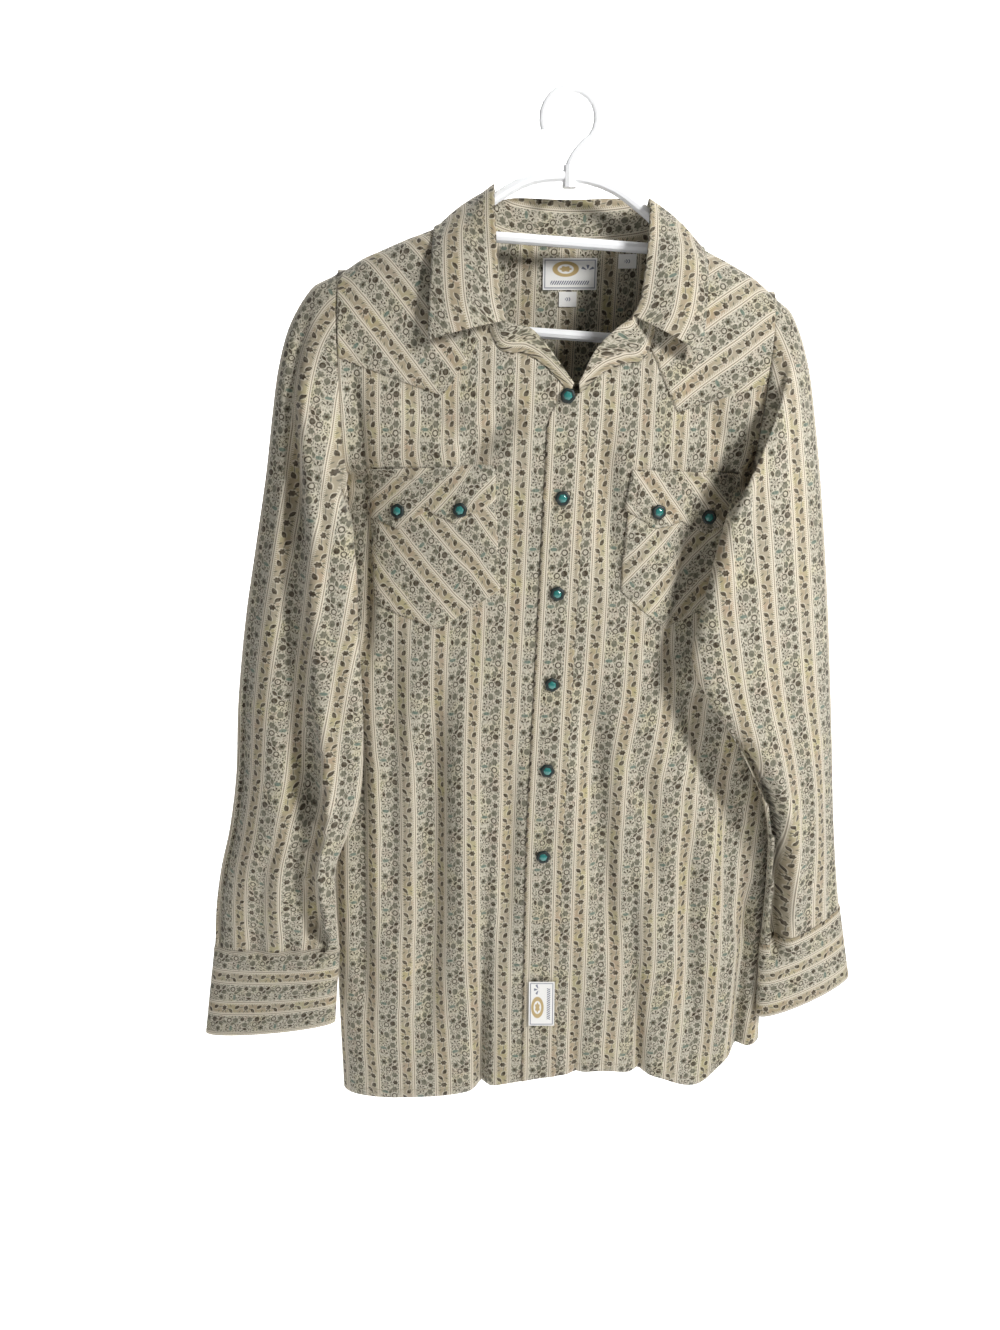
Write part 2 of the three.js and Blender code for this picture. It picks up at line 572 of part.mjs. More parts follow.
// Fronts, placket, yokes, pockets and flaps, all cut from one grid of the front's points
function addFront() {
  const grid = panelGrid(FRONT, FRONT_FOLDS, FRONT_HEM, FRONT_COLUMNS);
  const hole = through(neckHole(FRONT));
  const layer = (number) => solidOf(wall(grid, number * LAYER, number * LAYER + WALL)).subtract(hole);
  const first = layer(0);
  const second = layer(1);
  const third = layer(2);
  addCloth("front_right", first.intersect(through(besideSnaps(PLACKET_HALF - GAP, -300))));
  addCloth("front_left", first.intersect(through(besideSnaps(PLACKET_HALF, 300))));
  addCloth("placket", second.intersect(through(placketBand())));
  addCloth("yoke_front_right", second.intersect(through(YOKE_RIGHT)));
  addCloth("yoke_front_left", second.intersect(through(YOKE_LEFT)));
  addCloth("pocket_right", second.intersect(through(POCKET_RIGHT)));
  addCloth("pocket_left", second.intersect(through(POCKET_LEFT)));
  addCloth("flap_right", third.intersect(through(FLAP_RIGHT)));
  addCloth("flap_left", third.intersect(through(FLAP_LEFT)));
  const tag = solidOf(wall(grid, 2 * LAYER, 2 * LAYER + LABEL_WALL));
  addLabel("label_placket", tag.intersect(through(rectangle(PLACKET_LABEL))));
  SNAP_HEIGHTS.forEach((z, i) => {
    snap("snap_front_" + (i + 1), onFront(follow(CENTRE, "z", "x", z), z, 2));
  });
  for (const { name, x, z } of FLAP_SNAPS) snap(name, onFront(x, z, 3));
}

// Back, its yoke, and the labels sewn inside its neck
function addBack() {
  const grid = panelGrid(BACK, BACK_FOLDS, BACK_HEM, BACK_COLUMNS);
  const hole = through(neckHole(BACK));
  addCloth("back", solidOf(wall(grid, 0, WALL)).subtract(hole));
  const second = solidOf(wall(grid, LAYER, LAYER + WALL)).subtract(hole);
  addCloth("yoke_back", second.intersect(through(BACK_YOKE)));
  const inside = solidOf(wall(grid, -GAP - LABEL_WALL, -GAP)).subtract(hole);
  addLabel("label_neck", inside.intersect(through(rectangle(NECK_LABEL))));
  addLabel("label_size", inside.intersect(through(rectangle(SIZE_TAB))));
  addLabel("label_care", inside.intersect(through(rectangle(CARE_TAG))));
}

// How far beyond the body's edge the sleeve starts: more at the underarm, where the body's wall turns
function armholeGap(z) {
  return ARMHOLE_GAP.side + ARMHOLE_GAP.underarm * smoothstep(UNDERARM_Z + ARMHOLE_GAP.over, UNDERARM_Z, z);
}

// A point of a sleeve, by row of its table and angle round it
function sleevePoint(rows, folds, row, angle) {
  const read = (column) => followRow(rows, column, row);
  const out = new THREE.Vector3(read("outX"), read("outY"), read("outZ"));
  const inner = new THREE.Vector3(read("inX"), read("inY"), read("inZ"));
  const half = out.clone().sub(inner).multiplyScalar(0.5);
  const point = out.clone().add(inner).multiplyScalar(0.5);
  point.addScaledVector(half, Math.cos(angle));
  const sine = Math.sin(angle);
  point.y -= sine > 0 ? sine * read("front") : sine * read("back");
  const side = Math.sign(point.x);
  const armhole = follow(SIDES, "z", side < 0 ? "left" : "right", point.z) + side * armholeGap(point.z);
  point.x += (armhole - point.x) * (1 - smoothstep(0, 1, row));
  for (const fold of folds) {
    const along = (row - fold.r0) / (fold.r1 - fold.r0);
    const centre = THREE.MathUtils.degToRad(fold.a0 + (fold.a1 - fold.a0) * along);
    const off = (angle - centre) / THREE.MathUtils.degToRad(fold.width);
    const ramp = smoothstep(0, FOLD_RAMP.in, along) * (1 - smoothstep(FOLD_RAMP.out, FOLD_RAMP.end, along));
    point.y += Math.sign(Math.sin(centre)) * fold.depth * ramp * Math.exp(-off * off);
  }
  return clearOfBody(point);
}

// The point, moved forward where it would touch the front that it hangs before
function clearOfBody(point) {
  const share = Math.abs(shareAt(point.x, point.z));
  const limit = frontY(point.x, point.z) - SLEEVE_CLEARANCE;
  if (share >= 1 || point.y <= limit) return point;
  const pull = smoothstep(1, SLEEVE_EDGE_SHARE, share);
  point.y += (limit - point.y) * pull;
  return point;
}

// Grid round a tube between two rows of a sleeve's table
function tubeGrid(rows, folds, from, to, steps) {
  const grid = [];
  for (let i = 0; i <= steps; i++) {
    const row = from + ((to - from) * i) / steps;
    const ring = [];
    for (let j = 0; j < SLEEVE_SIDES; j++) {
      const angle = (2 * Math.PI * j) / SLEEVE_SIDES;
      const point = sleevePoint(rows, folds, row, angle);
      const step = 0.02;
      const inside = Math.min(Math.max(row, step), rows.length - 1 - step);
      const along = sleevePoint(rows, folds, inside + step, angle).sub(
        sleevePoint(rows, folds, inside - step, angle),
      );
      const round = sleevePoint(rows, folds, row, angle + step).sub(
        sleevePoint(rows, folds, row, angle - step),
      );
      ring.push({ point, normal: round.cross(along).normalize() });
    }
    const middle = new THREE.Vector3();
    ring.forEach(({ point }) => middle.addScaledVector(point, 1 / SLEEVE_SIDES));
    const away = ring[0].point.clone().sub(middle);
    if (ring[0].normal.dot(away) < 0) ring.forEach(({ normal }) => normal.negate());
    if (row === 0) ring.forEach(({ normal }) => normal.setX(0).normalize());
    grid.push(ring);
  }
  return grid;
}

function addSleeve(side, rows) {
  const folds = SLEEVE_FOLDS[side];
  const upper = tubeGrid(rows, folds, 0, ELBOW_ROW - SEAM_HALF_ROW, UPPER_ROWS);
  const forearm = tubeGrid(rows, folds, ELBOW_ROW + SEAM_HALF_ROW, CUFF_ROW - SEAM_HALF_ROW, FOREARM_ROWS);
  const cuff = tubeGrid(rows, folds, CUFF_ROW + SEAM_HALF_ROW, rows.length - 1, CUFF_ROWS);
  addCloth("sleeve_" + side, solidOf(wall(upper, 0, WALL, true)));
  addCloth("forearm_" + side, solidOf(wall(forearm, 0, WALL, true)));
  addCloth("cuff_" + side, solidOf(wall(cuff, 0, WALL, true)));
  CUFF_SNAPS.rows.forEach((row, i) => {
    const at = THREE.MathUtils.degToRad(CUFF_SNAPS.angle);
    const step = 0.05;
    const along = sleevePoint(rows, folds, row + step, at).sub(sleevePoint(rows, folds, row - step, at));
    const round = sleevePoint(rows, folds, row, at + step).sub(sleevePoint(rows, folds, row, at - step));
    const normal = round.cross(along).normalize();
    if (normal.y < 0) normal.negate();
    const point = sleevePoint(rows, folds, row, at).addScaledVector(normal, LAYER + GAP);
    snap("snap_cuff_" + side + "_" + (i + 1), { point, normal });
  });
}

// Collar: the seam, roll and edge lines at a place along it
function collarLine(kind, place) {
  const rows = COLLAR;
  const x = followRow(rows, kind + "X", place);
  const z = followRow(rows, kind + "Z", place);
  if (kind !== "seam") return new THREE.Vector3(x, followRow(rows, kind + "Y", place), z);
  const behind = place > SHOULDER_RIGHT && place < SHOULDER_LEFT;
  const y = behind ? backY(x, z) : frontY(x, z) - WALL;
  return new THREE.Vector3(x, y, z);
}

// A point of the leaf, by its place along the collar and its share of the way from roll line to edge
function leafPoint(place, across) {
  const rows = COLLAR.slice(LEAF_FIRST, LEAF_LAST + 1);
  const read = (column) => followRow(rows, column, place - LEAF_FIRST);
  const roll = new THREE.Vector3(read("rollX"), read("rollY"), read("rollZ"));
  const edge = new THREE.Vector3(read("edgeX"), read("edgeY"), read("edgeZ"));
  const point = roll.clone().lerp(edge, across);
  const out = new THREE.Vector3(point.x * LEAF_OUT.x, point.y, LEAF_OUT.z).normalize();
  point.addScaledVector(out, LEAF_ARCH * Math.sin(Math.PI * across));
  return leafClear(point);
}

// The point, moved out from the shirt's middle until it lies clear of the shoulder, front and back
function leafClear(point) {
  const x = point.x;
  const middle = new THREE.Vector3(x, 0, Math.min(point.z, ridgeZ(x) - LEAF_MIDDLE_DROP));
  const ray = point.clone().sub(middle);
  const distance = ray.length();
  ray.normalize();
  let inside = 0;
  let outside = 2 * LEAF_MIDDLE_DROP;
  for (let i = 0; i < 20; i++) {
    const tried = (inside + outside) / 2;
    const { y, z } = middle.clone().addScaledVector(ray, tried);
    if (z < ridgeZ(x) && y > frontY(x, z) && y < backY(x, z)) inside = tried;
    else outside = tried;
  }
  const least = outside + LEAF_CLEARANCE;
  return distance < least ? middle.addScaledVector(ray, least) : point;
}

// Grid of a sheet: places along the collar, shares across it
function sheetGrid(surface, places, across) {
  const step = 0.01;
  return across.map((a) =>
    places.map((place) => {
      const p = Math.min(Math.max(place, places[0] + step), places[places.length - 1] - step);
      const q = Math.min(Math.max(a, step), 1 - step);
      const along = surface(p + step, q).sub(surface(p - step, q));
      const over = surface(p, q + step).sub(surface(p, q - step));
      return { point: surface(place, a), normal: along.cross(over).normalize() };
    }),
  );
}

function addCollar() {
  const standSurface = (place, across) => {
    const seam = collarLine("seam", place);
    const roll = collarLine("roll", place);
    const start = seam.clone().addScaledVector(roll.clone().sub(seam).normalize(), SEAM_CLEARANCE);
    return start.lerp(roll, across);
  };
  const stand = sheetGrid(standSurface, collarPlaces(0, COLLAR.length - 1), STAND_ACROSS);
  addCloth("collar_stand", solidOf(wall(stand, 0, WALL)));
  const leaf = sheetGrid(leafPoint, collarPlaces(LEAF_FIRST, LEAF_LAST), LEAF_ACROSS);
  addCloth("collar_leaf", solidOf(wall(leaf, LEAF_LIFT, LEAF_LIFT + WALL)));
}

// A round bar along a line of points
function bar(points, radius, steps) {
  const section = new THREE.Shape();
  section.absarc(0, 0, radius, 0, 2 * Math.PI);
  const extrudePath = new THREE.CatmullRomCurve3(points, false, "centripetal");
  const options = { steps, curveSegments: TUBE_SIDES / 2, extrudePath };
  return solidOf(new THREE.ExtrudeGeometry(section, options));
}

function addHanger() {
  const place = ({ x, z }) => new THREE.Vector3(x, 0, z - TILT * x);
  const half = [...SHOULDER.filter(({ x }) => x <= HANGER_REACH), ...HANGER_CORNER];
  const mirrored = half.slice(1).map(({ x, z }) => ({ x: -x, z })).reverse();
  const arms = bar([...mirrored, ...half].map(place), TUBE_RADIUS, ARM_STEPS);
  const across = (reach, z) => bar([place({ x: -reach, z }), place({ x: reach, z })], TUBE_RADIUS, 1);
  const bottom = across(BOTTOM_BAR_REACH, BOTTOM_BAR_Z);
  const cross = across(CROSS_BAR_REACH, CROSS_BAR_Z);
  const radius = HOOK_INNER_RADIUS + HOOK_WIRE_RADIUS;
  const hookLine = [new THREE.Vector3(0, 0, HOOK_FOOT_Z), new THREE.Vector3(0, 0, HOOK_NECK_Z)];
  for (let degrees = HOOK_TURN.from; degrees <= HOOK_TURN.to; degrees += HOOK_TURN.step) {
    const turn = THREE.MathUtils.degToRad(degrees);
    const z = radius * Math.sin(turn) - HOOK_INNER_RADIUS;
    hookLine.push(new THREE.Vector3(radius * Math.cos(turn), 0, z));
  }
  const hook = bar(hookLine, HOOK_WIRE_RADIUS, HOOK_STEPS);
  const boss = new THREE.CylinderGeometry(BOSS.top, BOSS.bottom, BOSS.height, TUBE_SIDES);
  boss.rotateX(Math.PI / 2);
  boss.translate(0, 0, BOSS.z);
  const solid = arms.add(bottom).add(cross).add(hook).add(solidOf(boss));
  add("hanger", geometryOf(solid), HANGER_COLOUR, 0.35);
}

addHanger();
addBack();
addFront();
addSleeve("right", SLEEVE_RIGHT);
addSleeve("left", SLEEVE_LEFT);
addCollar();

export default group;
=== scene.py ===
"""A western snap shirt on a tubular hanger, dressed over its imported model. Tables are in millimetres."""

from __future__ import annotations

import logging
import math
from collections.abc import Callable, Iterable, Sequence
from dataclasses import dataclass, field, replace
from enum import Enum

import bmesh
import bpy
import numpy as np
from mathutils import Matrix, Vector


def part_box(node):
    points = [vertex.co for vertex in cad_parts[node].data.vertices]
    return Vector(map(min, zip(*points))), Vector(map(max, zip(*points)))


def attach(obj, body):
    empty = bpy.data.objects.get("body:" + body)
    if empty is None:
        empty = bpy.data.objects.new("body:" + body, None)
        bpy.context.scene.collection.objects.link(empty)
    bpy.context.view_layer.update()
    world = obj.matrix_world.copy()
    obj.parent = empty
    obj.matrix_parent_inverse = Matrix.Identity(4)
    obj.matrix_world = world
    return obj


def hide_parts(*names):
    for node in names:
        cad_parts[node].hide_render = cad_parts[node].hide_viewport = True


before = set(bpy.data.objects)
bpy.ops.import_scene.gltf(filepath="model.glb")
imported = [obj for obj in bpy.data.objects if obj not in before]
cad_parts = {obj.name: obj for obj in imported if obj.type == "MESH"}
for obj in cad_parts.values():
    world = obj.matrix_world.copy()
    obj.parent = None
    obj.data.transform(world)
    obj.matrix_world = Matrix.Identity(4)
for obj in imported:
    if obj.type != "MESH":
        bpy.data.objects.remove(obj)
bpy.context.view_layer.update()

MM = 0.001
BODY = "root"
LOG = logging.getLogger("shirt")

Outline = Sequence[tuple[float, float]]
Triple = tuple[float, float, float]
Array = np.ndarray
Tree = bpy.types.NodeTree
Socket = bpy.types.NodeSocket
BMesh = bmesh.types.BMesh


def smoothstep(low: float, high: float, value: Array) -> Array:
    """Return the smooth rise from 0 at low to 1 at high."""
    t = np.clip((np.asarray(value, float) - low) / (high - low), 0, 1)
    return t * t * (3 - 2 * t)


def runs(points: Array, axis: int) -> Array:
    """Return how far each point of a grid lies from the first one, along the grid's rows or columns."""
    steps = np.linalg.norm(np.diff(points, axis=axis), axis=-1)
    return np.concatenate([np.zeros_like(steps.take([0], axis)), np.cumsum(steps, axis=axis)], axis=axis)


class Table:
    """Rows of named columns, read as smooth curves."""

    def __init__(self, columns: str, *rows: tuple[float, ...]) -> None:
        """Keep the rows.

        Args:
            columns: the columns' names, with spaces between.
            rows: one tuple of numbers for each row.
        """
        self.names = columns.split()
        self.rows = np.array(rows, float)

    def column(self, name: str) -> Array:
        """Return one column."""
        return self.rows[:, self.names.index(name)]

    def follow(self, by: str, name: str, at: Array) -> Array:
        """Read a column on a smooth curve through the rows.

        Args:
            by: the column that gives the place, rising or falling.
            name: the column to read.
            at: places.

        Returns:
            The column's value at each place, carried straight on past both ends.
        """
        keys, values = self.column(by), self.column(name)
        if keys[-1] < keys[0]:
            keys, values = keys[::-1], values[::-1]
        at = np.asarray(at, float)
        last = len(keys) - 1
        i = np.clip(np.searchsorted(keys, at) - 1, 0, last - 1)
        before, after = np.maximum(i - 1, 0), np.minimum(i + 2, last)
        a, b = values[i], values[i + 1]
        span = keys[i + 1] - keys[i]
        slope_a = (b - values[before]) / (keys[i + 1] - keys[before])
        slope_b = (values[after] - a) / (keys[after] - keys[i])
        t = (at - keys[i]) / span
        bend = (1 - t) * (slope_a * span - (b - a)) - t * (slope_b * span - (b - a))
        inside = a + (b - a) * t + t * (1 - t) * bend
        past = np.where(t > 1, b + slope_b * (at - keys[i + 1]), inside)
        return np.where(t < 0, a + slope_a * (at - keys[i]), past)

    def at_row(self, name: str, place: Array) -> Array:
        """Read a column on a smooth curve by the rows' own numbers.

        Args:
            name: the column to read.
            place: row numbers, whole or between rows.

        Returns:
            The column's value at each place.
        """
        values = self.column(name)
        last = len(values) - 1
        place = np.asarray(place, float)
        i = np.clip(np.floor(place).astype(int), 0, last - 1)
        t = place - i
        a, b = values[i], values[i + 1]
        slope_a = np.where(i == 0, b - a, (b - values[np.maximum(i - 1, 0)]) / 2)
        slope_b = np.where(i == last - 1, b - a, (values[np.minimum(i + 2, last)] - a) / 2)
        bend = (1 - t) * (slope_a - (b - a)) - t * (slope_b - (b - a))
        return a + (b - a) * t + t * (1 - t) * bend

    def point(self, kind: str, place: Array) -> Array:
        """Read the points whose columns start with a word, by the rows' own numbers."""
        return np.stack([self.at_row(kind + axis, place) for axis in "XYZ"], axis=-1)


SHOULDER = Table(
    "x z",
    (0, -65.5), (35, -71), (66, -89), (103, -118.5), (145, -138), (168, -149), (215, -171),
)
SIDES = Table(
    "z left right",
    (-120, -201, 183.5), (-160, -201, 181), (-318, -202, 171), (-400, -206, 183), (-500, -213, 196),
    (-620, -221, 207), (-720, -228, 214), (-830, -229, 213), (-970, -228, 216),
)
CENTRE = Table("z x", (-100, 4), (-247, -1), (-423, -8), (-594, -15), (-683, -18), (-940, -21))
FRONT_HEM = Table(
    "x z",
    (-229, -968), (-157, -961), (-107, -954), (-60, -942), (0, -931), (47, -926), (97, -933), (144, -946),
    (182, -916), (216, -908),
)
BACK_HEM = Table("x z", (-229, -968), (-110, -962), (0, -958), (110, -944), (216, -908))
TILT = 0.07
RIDGE_RISE = 7.3
RIDGE_RADIUS = 10
UNDERARM_Z = -318
SIDE_ROUNDNESS = 3
SIDE_TURN_LENGTH = 150
DEEPEST_FOLD = 0.6
DEEPEST_CREASE = 0.3
CREASES_BELOW = 25
RIPPLES_BELOW = 40
EDGE_FLATNESS = 12
TOP_GUESS = -150.0
HEM_GUESS = -940.0
HALF_GAP = 0.15
CLOTH_FACE = 1.6


@dataclass(frozen=True)
class Fold:
    """A long trough of a panel, by its share of the way from the snap line to the edge."""

    u0: float
    u1: float
    z0: float
    z1: float
    width: float
    depth: float


@dataclass(frozen=True)
class Crease:
    """A soft trough, or a ridge where its depth is below 0, along a line seen from the front."""

    x0: float
    z0: float
    x1: float
    z1: float
    width: float
    depth: float

    def press(self, x: Array, z: Array) -> Array:
        """Return how deep it presses at each point."""
        dx, dz = self.x1 - self.x0, self.z1 - self.z0
        length2 = dx * dx + dz * dz
        t = ((x - self.x0) * dx + (z - self.z0) * dz) / length2
        off = ((x - self.x0) * dz - (z - self.z0) * dx) / math.sqrt(length2) / self.width
        ends = smoothstep(-0.05, 0.3, t) * (1 - smoothstep(0.7, 1.05, t))
        return self.depth * ends * np.exp(-off * off)


@dataclass(frozen=True)
class Panel:
    """The front or back face of the shirt: how far it stands from the hanger's plane, and its folds."""

    sign: int
    deepest: float
    armhole: float
    slope: float
    hem: Table
    folds: tuple[Fold, ...]
    creases: tuple[Crease, ...]

    def depth(self, x: Array, z: Array) -> Array:
        """Return y of the panel's inner face at points seen from the front, with its folds."""
        share = np.minimum(np.abs(share_at(x, z)), 1)
        drop = np.maximum(ridge_z(x) - z, 0)
        rest = np.maximum(1 - drop / RIDGE_RADIUS, 0)
        top = RIDGE_RADIUS * np.sqrt(1 - rest * rest)
        deep = top + (self.deepest - RIDGE_RADIUS) * (1 - np.exp(-drop / self.slope))
        down = np.minimum(drop / (ridge_z(x) - UNDERARM_Z), 1)
        edge = np.minimum(deep, self.armhole * 2 * np.sqrt(down * (1 - down)))
        flat = 1 - share**SIDE_ROUNDNESS
        below = 1 - smoothstep(UNDERARM_Z - SIDE_TURN_LENGTH, UNDERARM_Z, z)
        turn = flat * (1 - below) + flat ** (1 / SIDE_ROUNDNESS) * below
        out = edge + (deep - edge) * turn
        pressed = sum((self.fold_depth(fold, x, z) for fold in self.folds), np.zeros_like(out))
        pressed = np.minimum(pressed, out * DEEPEST_FOLD)
        soft = sum((crease.press(x, z) for crease in self.creases), np.zeros_like(out))
        inner = 1 - share**EDGE_FLATNESS
        soft = np.minimum(soft, out * DEEPEST_CREASE) * smoothstep(0, CREASES_BELOW, drop) * inner
        uneven = ripple(x, z) * smoothstep(0, RIPPLES_BELOW, drop) * inner
        return self.sign * (HALF_GAP + out - pressed - soft - uneven)

    @staticmethod
    def fold_depth(fold: Fold, x: Array, z: Array) -> Array:
        """Return how deep one long fold presses at each point."""
        along = (fold.z0 - z) / (fold.z0 - fold.z1)
        share = fold.u0 + (fold.u1 - fold.u0) * along
        off = (x - x_at(share, z)) / fold.width
        return fold.depth * smoothstep(0, 1, along) * np.exp(-off * off)

    def raised(self, x: Array, z: Array, height: float) -> Array:
        """Return the points that lie a height above the inner face.

        Args:
            x: places across, in millimetres.
            z: heights, in millimetres.
            height: how far out from the inner face.

        Returns:
            Points, one row for each place, in metres.
        """
        step = 0.05
        y = self.depth(x, z)
        lower = z - step
        slope_x = (self.depth(x + step, lower) - self.depth(x - step, lower)) / (2 * step)
        slope_z = (self.depth(x, lower + step) - self.depth(x, lower - step)) / (2 * step)
        normal = np.stack([-slope_x, np.ones_like(y), -slope_z], axis=-1) * self.sign
        normal /= np.linalg.norm(normal, axis=-1, keepdims=True)
        return (np.stack([x, y, z], axis=-1) + normal * height) * MM


def ripple(x: Array, z: Array) -> Array:
    """Return the cloth's small unevenness, in millimetres, from 0 up."""
    sway = 9 * np.sin(z / 47 + 0.6) + 5 * np.sin(x / 31 + z / 83)
    wide = np.sin((x + sway) / 11.5) * np.sin(z / 61 + x / 140 + 1.3)
    small = np.sin((x * 0.8 + z * 0.6 + sway) / 7.3) * np.sin((z - x * 0.4) / 17.0 + 0.4)
    return 0.55 + 0.4 * wide + 0.15 * small


def hanger_z(x: Array) -> Array:
    """Return the height of the hanger tube's centre line."""
    return SHOULDER.follow("x", "z", np.abs(x)) - TILT * np.asarray(x)


def ridge_z(x: Array) -> Array:
    """Return the height of the cloth's inner face on top of the hanger."""
    return hanger_z(x) + RIDGE_RISE


def share_at(x: Array, z: Array) -> Array:
    """Return the share of the way from the snap line to the edge, -1 at the wearer's right."""
    centre = CENTRE.follow("z", "x", z)
    edge = np.where(x < centre, SIDES.follow("z", "left", z), SIDES.follow("z", "right", z))
    return np.abs(x - centre) / np.abs(edge - centre) * np.sign(x - centre)


def x_at(share: Array, z: Array) -> Array:
    """Return the place across of a share at a height."""
    centre = CENTRE.follow("z", "x", z)
    edge = np.where(np.asarray(share) < 0, SIDES.follow("z", "left", z), SIDES.follow("z", "right", z))
    return centre + np.abs(share) * (edge - centre)


FRONT = Panel(
    -1, 46, 34, 55, FRONT_HEM,
    (
        Fold(-0.25, -0.285, -560, -960, 7, 15),
        Fold(0.33, 0.45, -540, -940, 8, 13),
        Fold(0.14, 0.165, -770, -930, 6, 5),
        Fold(0.905, 0.89, -610, -900, 8, 17),
    ),
    (
        Crease(-190, -215, -186, -500, 8, 20),
        Crease(-160, -440, -168, -800, 13, 9),
        Crease(-196, -520, -200, -900, 9, 12),
        Crease(-121, -500, -138, -920, 15, 16),
        Crease(-94, -470, -98, -820, 14, -6),
        Crease(-44, -255, -100, -315, 12, 8),
        Crease(-150, -255, -60, -300, 14, 5),
        Crease(28, -262, 44, -430, 13, 8),
        Crease(19, -490, 57, -830, 15, 14),
        Crease(126, -330, 98, -520, 17, 17),
        Crease(112, -500, 160, -640, 15, 19),
        Crease(160, -610, 186, -800, 11, 19),
        Crease(72, -560, 96, -740, 12, 8),
        Crease(120, -640, 138, -900, 12, 9),
        Crease(-46, -560, -56, -800, 8, 6),
        Crease(110, -240, 160, -330, 14, 6),
    ),
)
BACK = Panel(
    1, 34, 26, 60, BACK_HEM,
    (
        Fold(-0.42, -0.48, -420, -955, 10, 12),
        Fold(0.06, 0.1, -520, -955, 9, 9),
        Fold(0.5, 0.56, -460, -945, 10, 13),
    ),
    (
        Crease(-160, -260, -120, -560, 18, 4),
        Crease(140, -260, 110, -540, 18, 4),
        Crease(-50, -280, -30, -600, 20, 3),
        Crease(60, -300, 40, -640, 20, 3),
        Crease(-180, -520, -150, -880, 16, 5),
        Crease(175, -560, 150, -880, 16, 5),
    ),
)

COLLAR = Table(
    "seamX seamZ rollX rollY rollZ edgeX edgeY edgeZ",
    (1, -247, 4, -47, -238, 0, 0, 0),
    (-20, -225, -18, -48, -209, 0, 0, 0),
    (-38, -214, -34, -49, -193, 0, 0, 0),
    (-62, -208, -55, -51, -187, -121, -54, -203),
    (-76, -165, -60, -48, -165, -120, -48, -170),
    (-82, -125, -63, -29, -120, -118, -32, -132),
    (-84, -89.5, -65, -4, -76, -116, 0, -108),
    (-76, -104, -62, 15, -83, -104, 24, -122),
    (-48, -115, -45, 25, -79, -62, 36, -136),
    (0, -120, 1, 28, -80, 1, 39, -140),
    (48, -118, 50, 25, -80, 64, 36, -140),
    (78, -113, 67, 15, -91, 106, 24, -134),
    (87, -101, 69, -4, -85, 117, 0, -124),
    (85, -135, 66, -29, -124, 118, -32, -146),
    (79, -172, 59, -48, -168, 115, -48, -182),
    (66, -215, 52, -53, -183, 112, -55, -214),
    (48, -222, 37, -53, -195, 0, 0, 0),
    (30, -229, 22, -52, -210, 0, 0, 0),
    (9, -247, 8, -49, -238, 0, 0, 0),
)
SHOULDER_RIGHT = 6
SHOULDER_LEFT = 12
LEAF_FIRST = 3
LEAF_LAST = 15
LEAF_ARCH = 4
LEAF_CLEARANCE = 4.2
LEAF_MIDDLE_DROP = 30

SLEEVE_COLUMNS = "outX outY outZ inX inY inZ front back"
SLEEVE_RIGHT = Table(
    SLEEVE_COLUMNS,
    (-202.3, 0, -141.5, -205, 0, -320, 34, 26),
    (-225, -2, -158, -204, -10, -333, 33, 27),
    (-245, -4, -188, -200, -26, -347, 31, 27),
    (-257, -5, -224, -195, -36, -364, 29, 26),
    (-265, -6, -266, -193, -42, -386, 26, 25),
    (-274, -7, -321, -191, -46, -420, 24, 24),
    (-287, -8, -386, -192, -48, -460, 23, 23),
    (-301, -8, -456, -190, -50, -505, 22, 23),
    (-313, -8, -536, -190, -52, -560, 22, 22),
    (-320, -8, -611, -194, -52, -615, 22, 22),
    (-330, -8, -668, -207, -50, -655, 21, 21),
    (-342, -8, -714, -222, -46, -695, 19, 20),
    (-350, -8, -757, -224, -42, -742, 16, 17),
    (-355, -8, -804, -224, -38, -788, 12, 13),
    (-363, -8, -854, -228, -38, -830, 11, 12),
    (-371, -8, -905, -232, -38, -872, 12, 13),
)
SLEEVE_LEFT = Table(
    SLEEVE_COLUMNS,
    (182.8, 0, -159.5, 174.3, 0, -320, 34, 26),
    (196, -4, -178, 170, -26, -330, 33, 27),
    (206, -7, -199, 148, -56, -340, 31, 26),
    (215, -10, -229, 140, -66, -355, 29, 25),
    (222, -12, -266, 134, -66, -377, 26, 24),
    (230, -15, -316, 128, -69, -403, 24, 23),
    (238, -18, -376, 121, -71, -437, 23, 23),
    (246, -20, -441, 114.5, -73, -479, 22, 22),
    (255, -20, -520, 133, -71, -519, 22, 22),
    (262, -18, -581, 162, -68, -563, 22, 22),
    (269, -14, -640, 190, -58, -618, 21, 24),
    (276, -10, -689, 203, -43, -666, 20, 25),
    (282, -8, -727, 206, -36, -722, 18, 22),
    (287, -8, -757, 206, -32, -787, 16, 20),
    (295, -8, -797, 207, -30, -829, 14, 18),
    (303, -8, -837, 208, -28, -871, 14, 18),
)
CUFF_ROW = 13
SLEEVE_CLEARANCE = 8.5
SLEEVE_EDGE_SHARE = 0.965


@dataclass(frozen=True)
class SleeveFold:
    """A trough along a sleeve: its rows, the angle round the tube at each, width in degrees, depth."""

    r0: float
    r1: float
    a0: float
    a1: float
    width: float
    depth: float

    def press(self, row: Array, angle: Array) -> Array:
        """Return how far it moves each point along y, and its way."""
        along = (row - self.r0) / (self.r1 - self.r0)
        centre = np.radians(self.a0 + (self.a1 - self.a0) * along)
        off = (angle - centre) / math.radians(self.width)
        ramp = smoothstep(0, 0.35, along) * (1 - smoothstep(0.88, 1.06, along))
        return np.sign(np.sin(centre)) * self.depth * ramp * np.exp(-off * off)


@dataclass(frozen=True)
class Tuck:
    """How the sleeve's head runs on under the body's edge: its rows, how far in, and how far below.

    Below is how far it sinks at its very end. Under is how far its front and back sink before that.
    """

    rows: float = 0.1
    in_by: float = 7
    under: float = 2.4
    below: float = 4
    fades: float = 0.35


TUCK = Tuck()


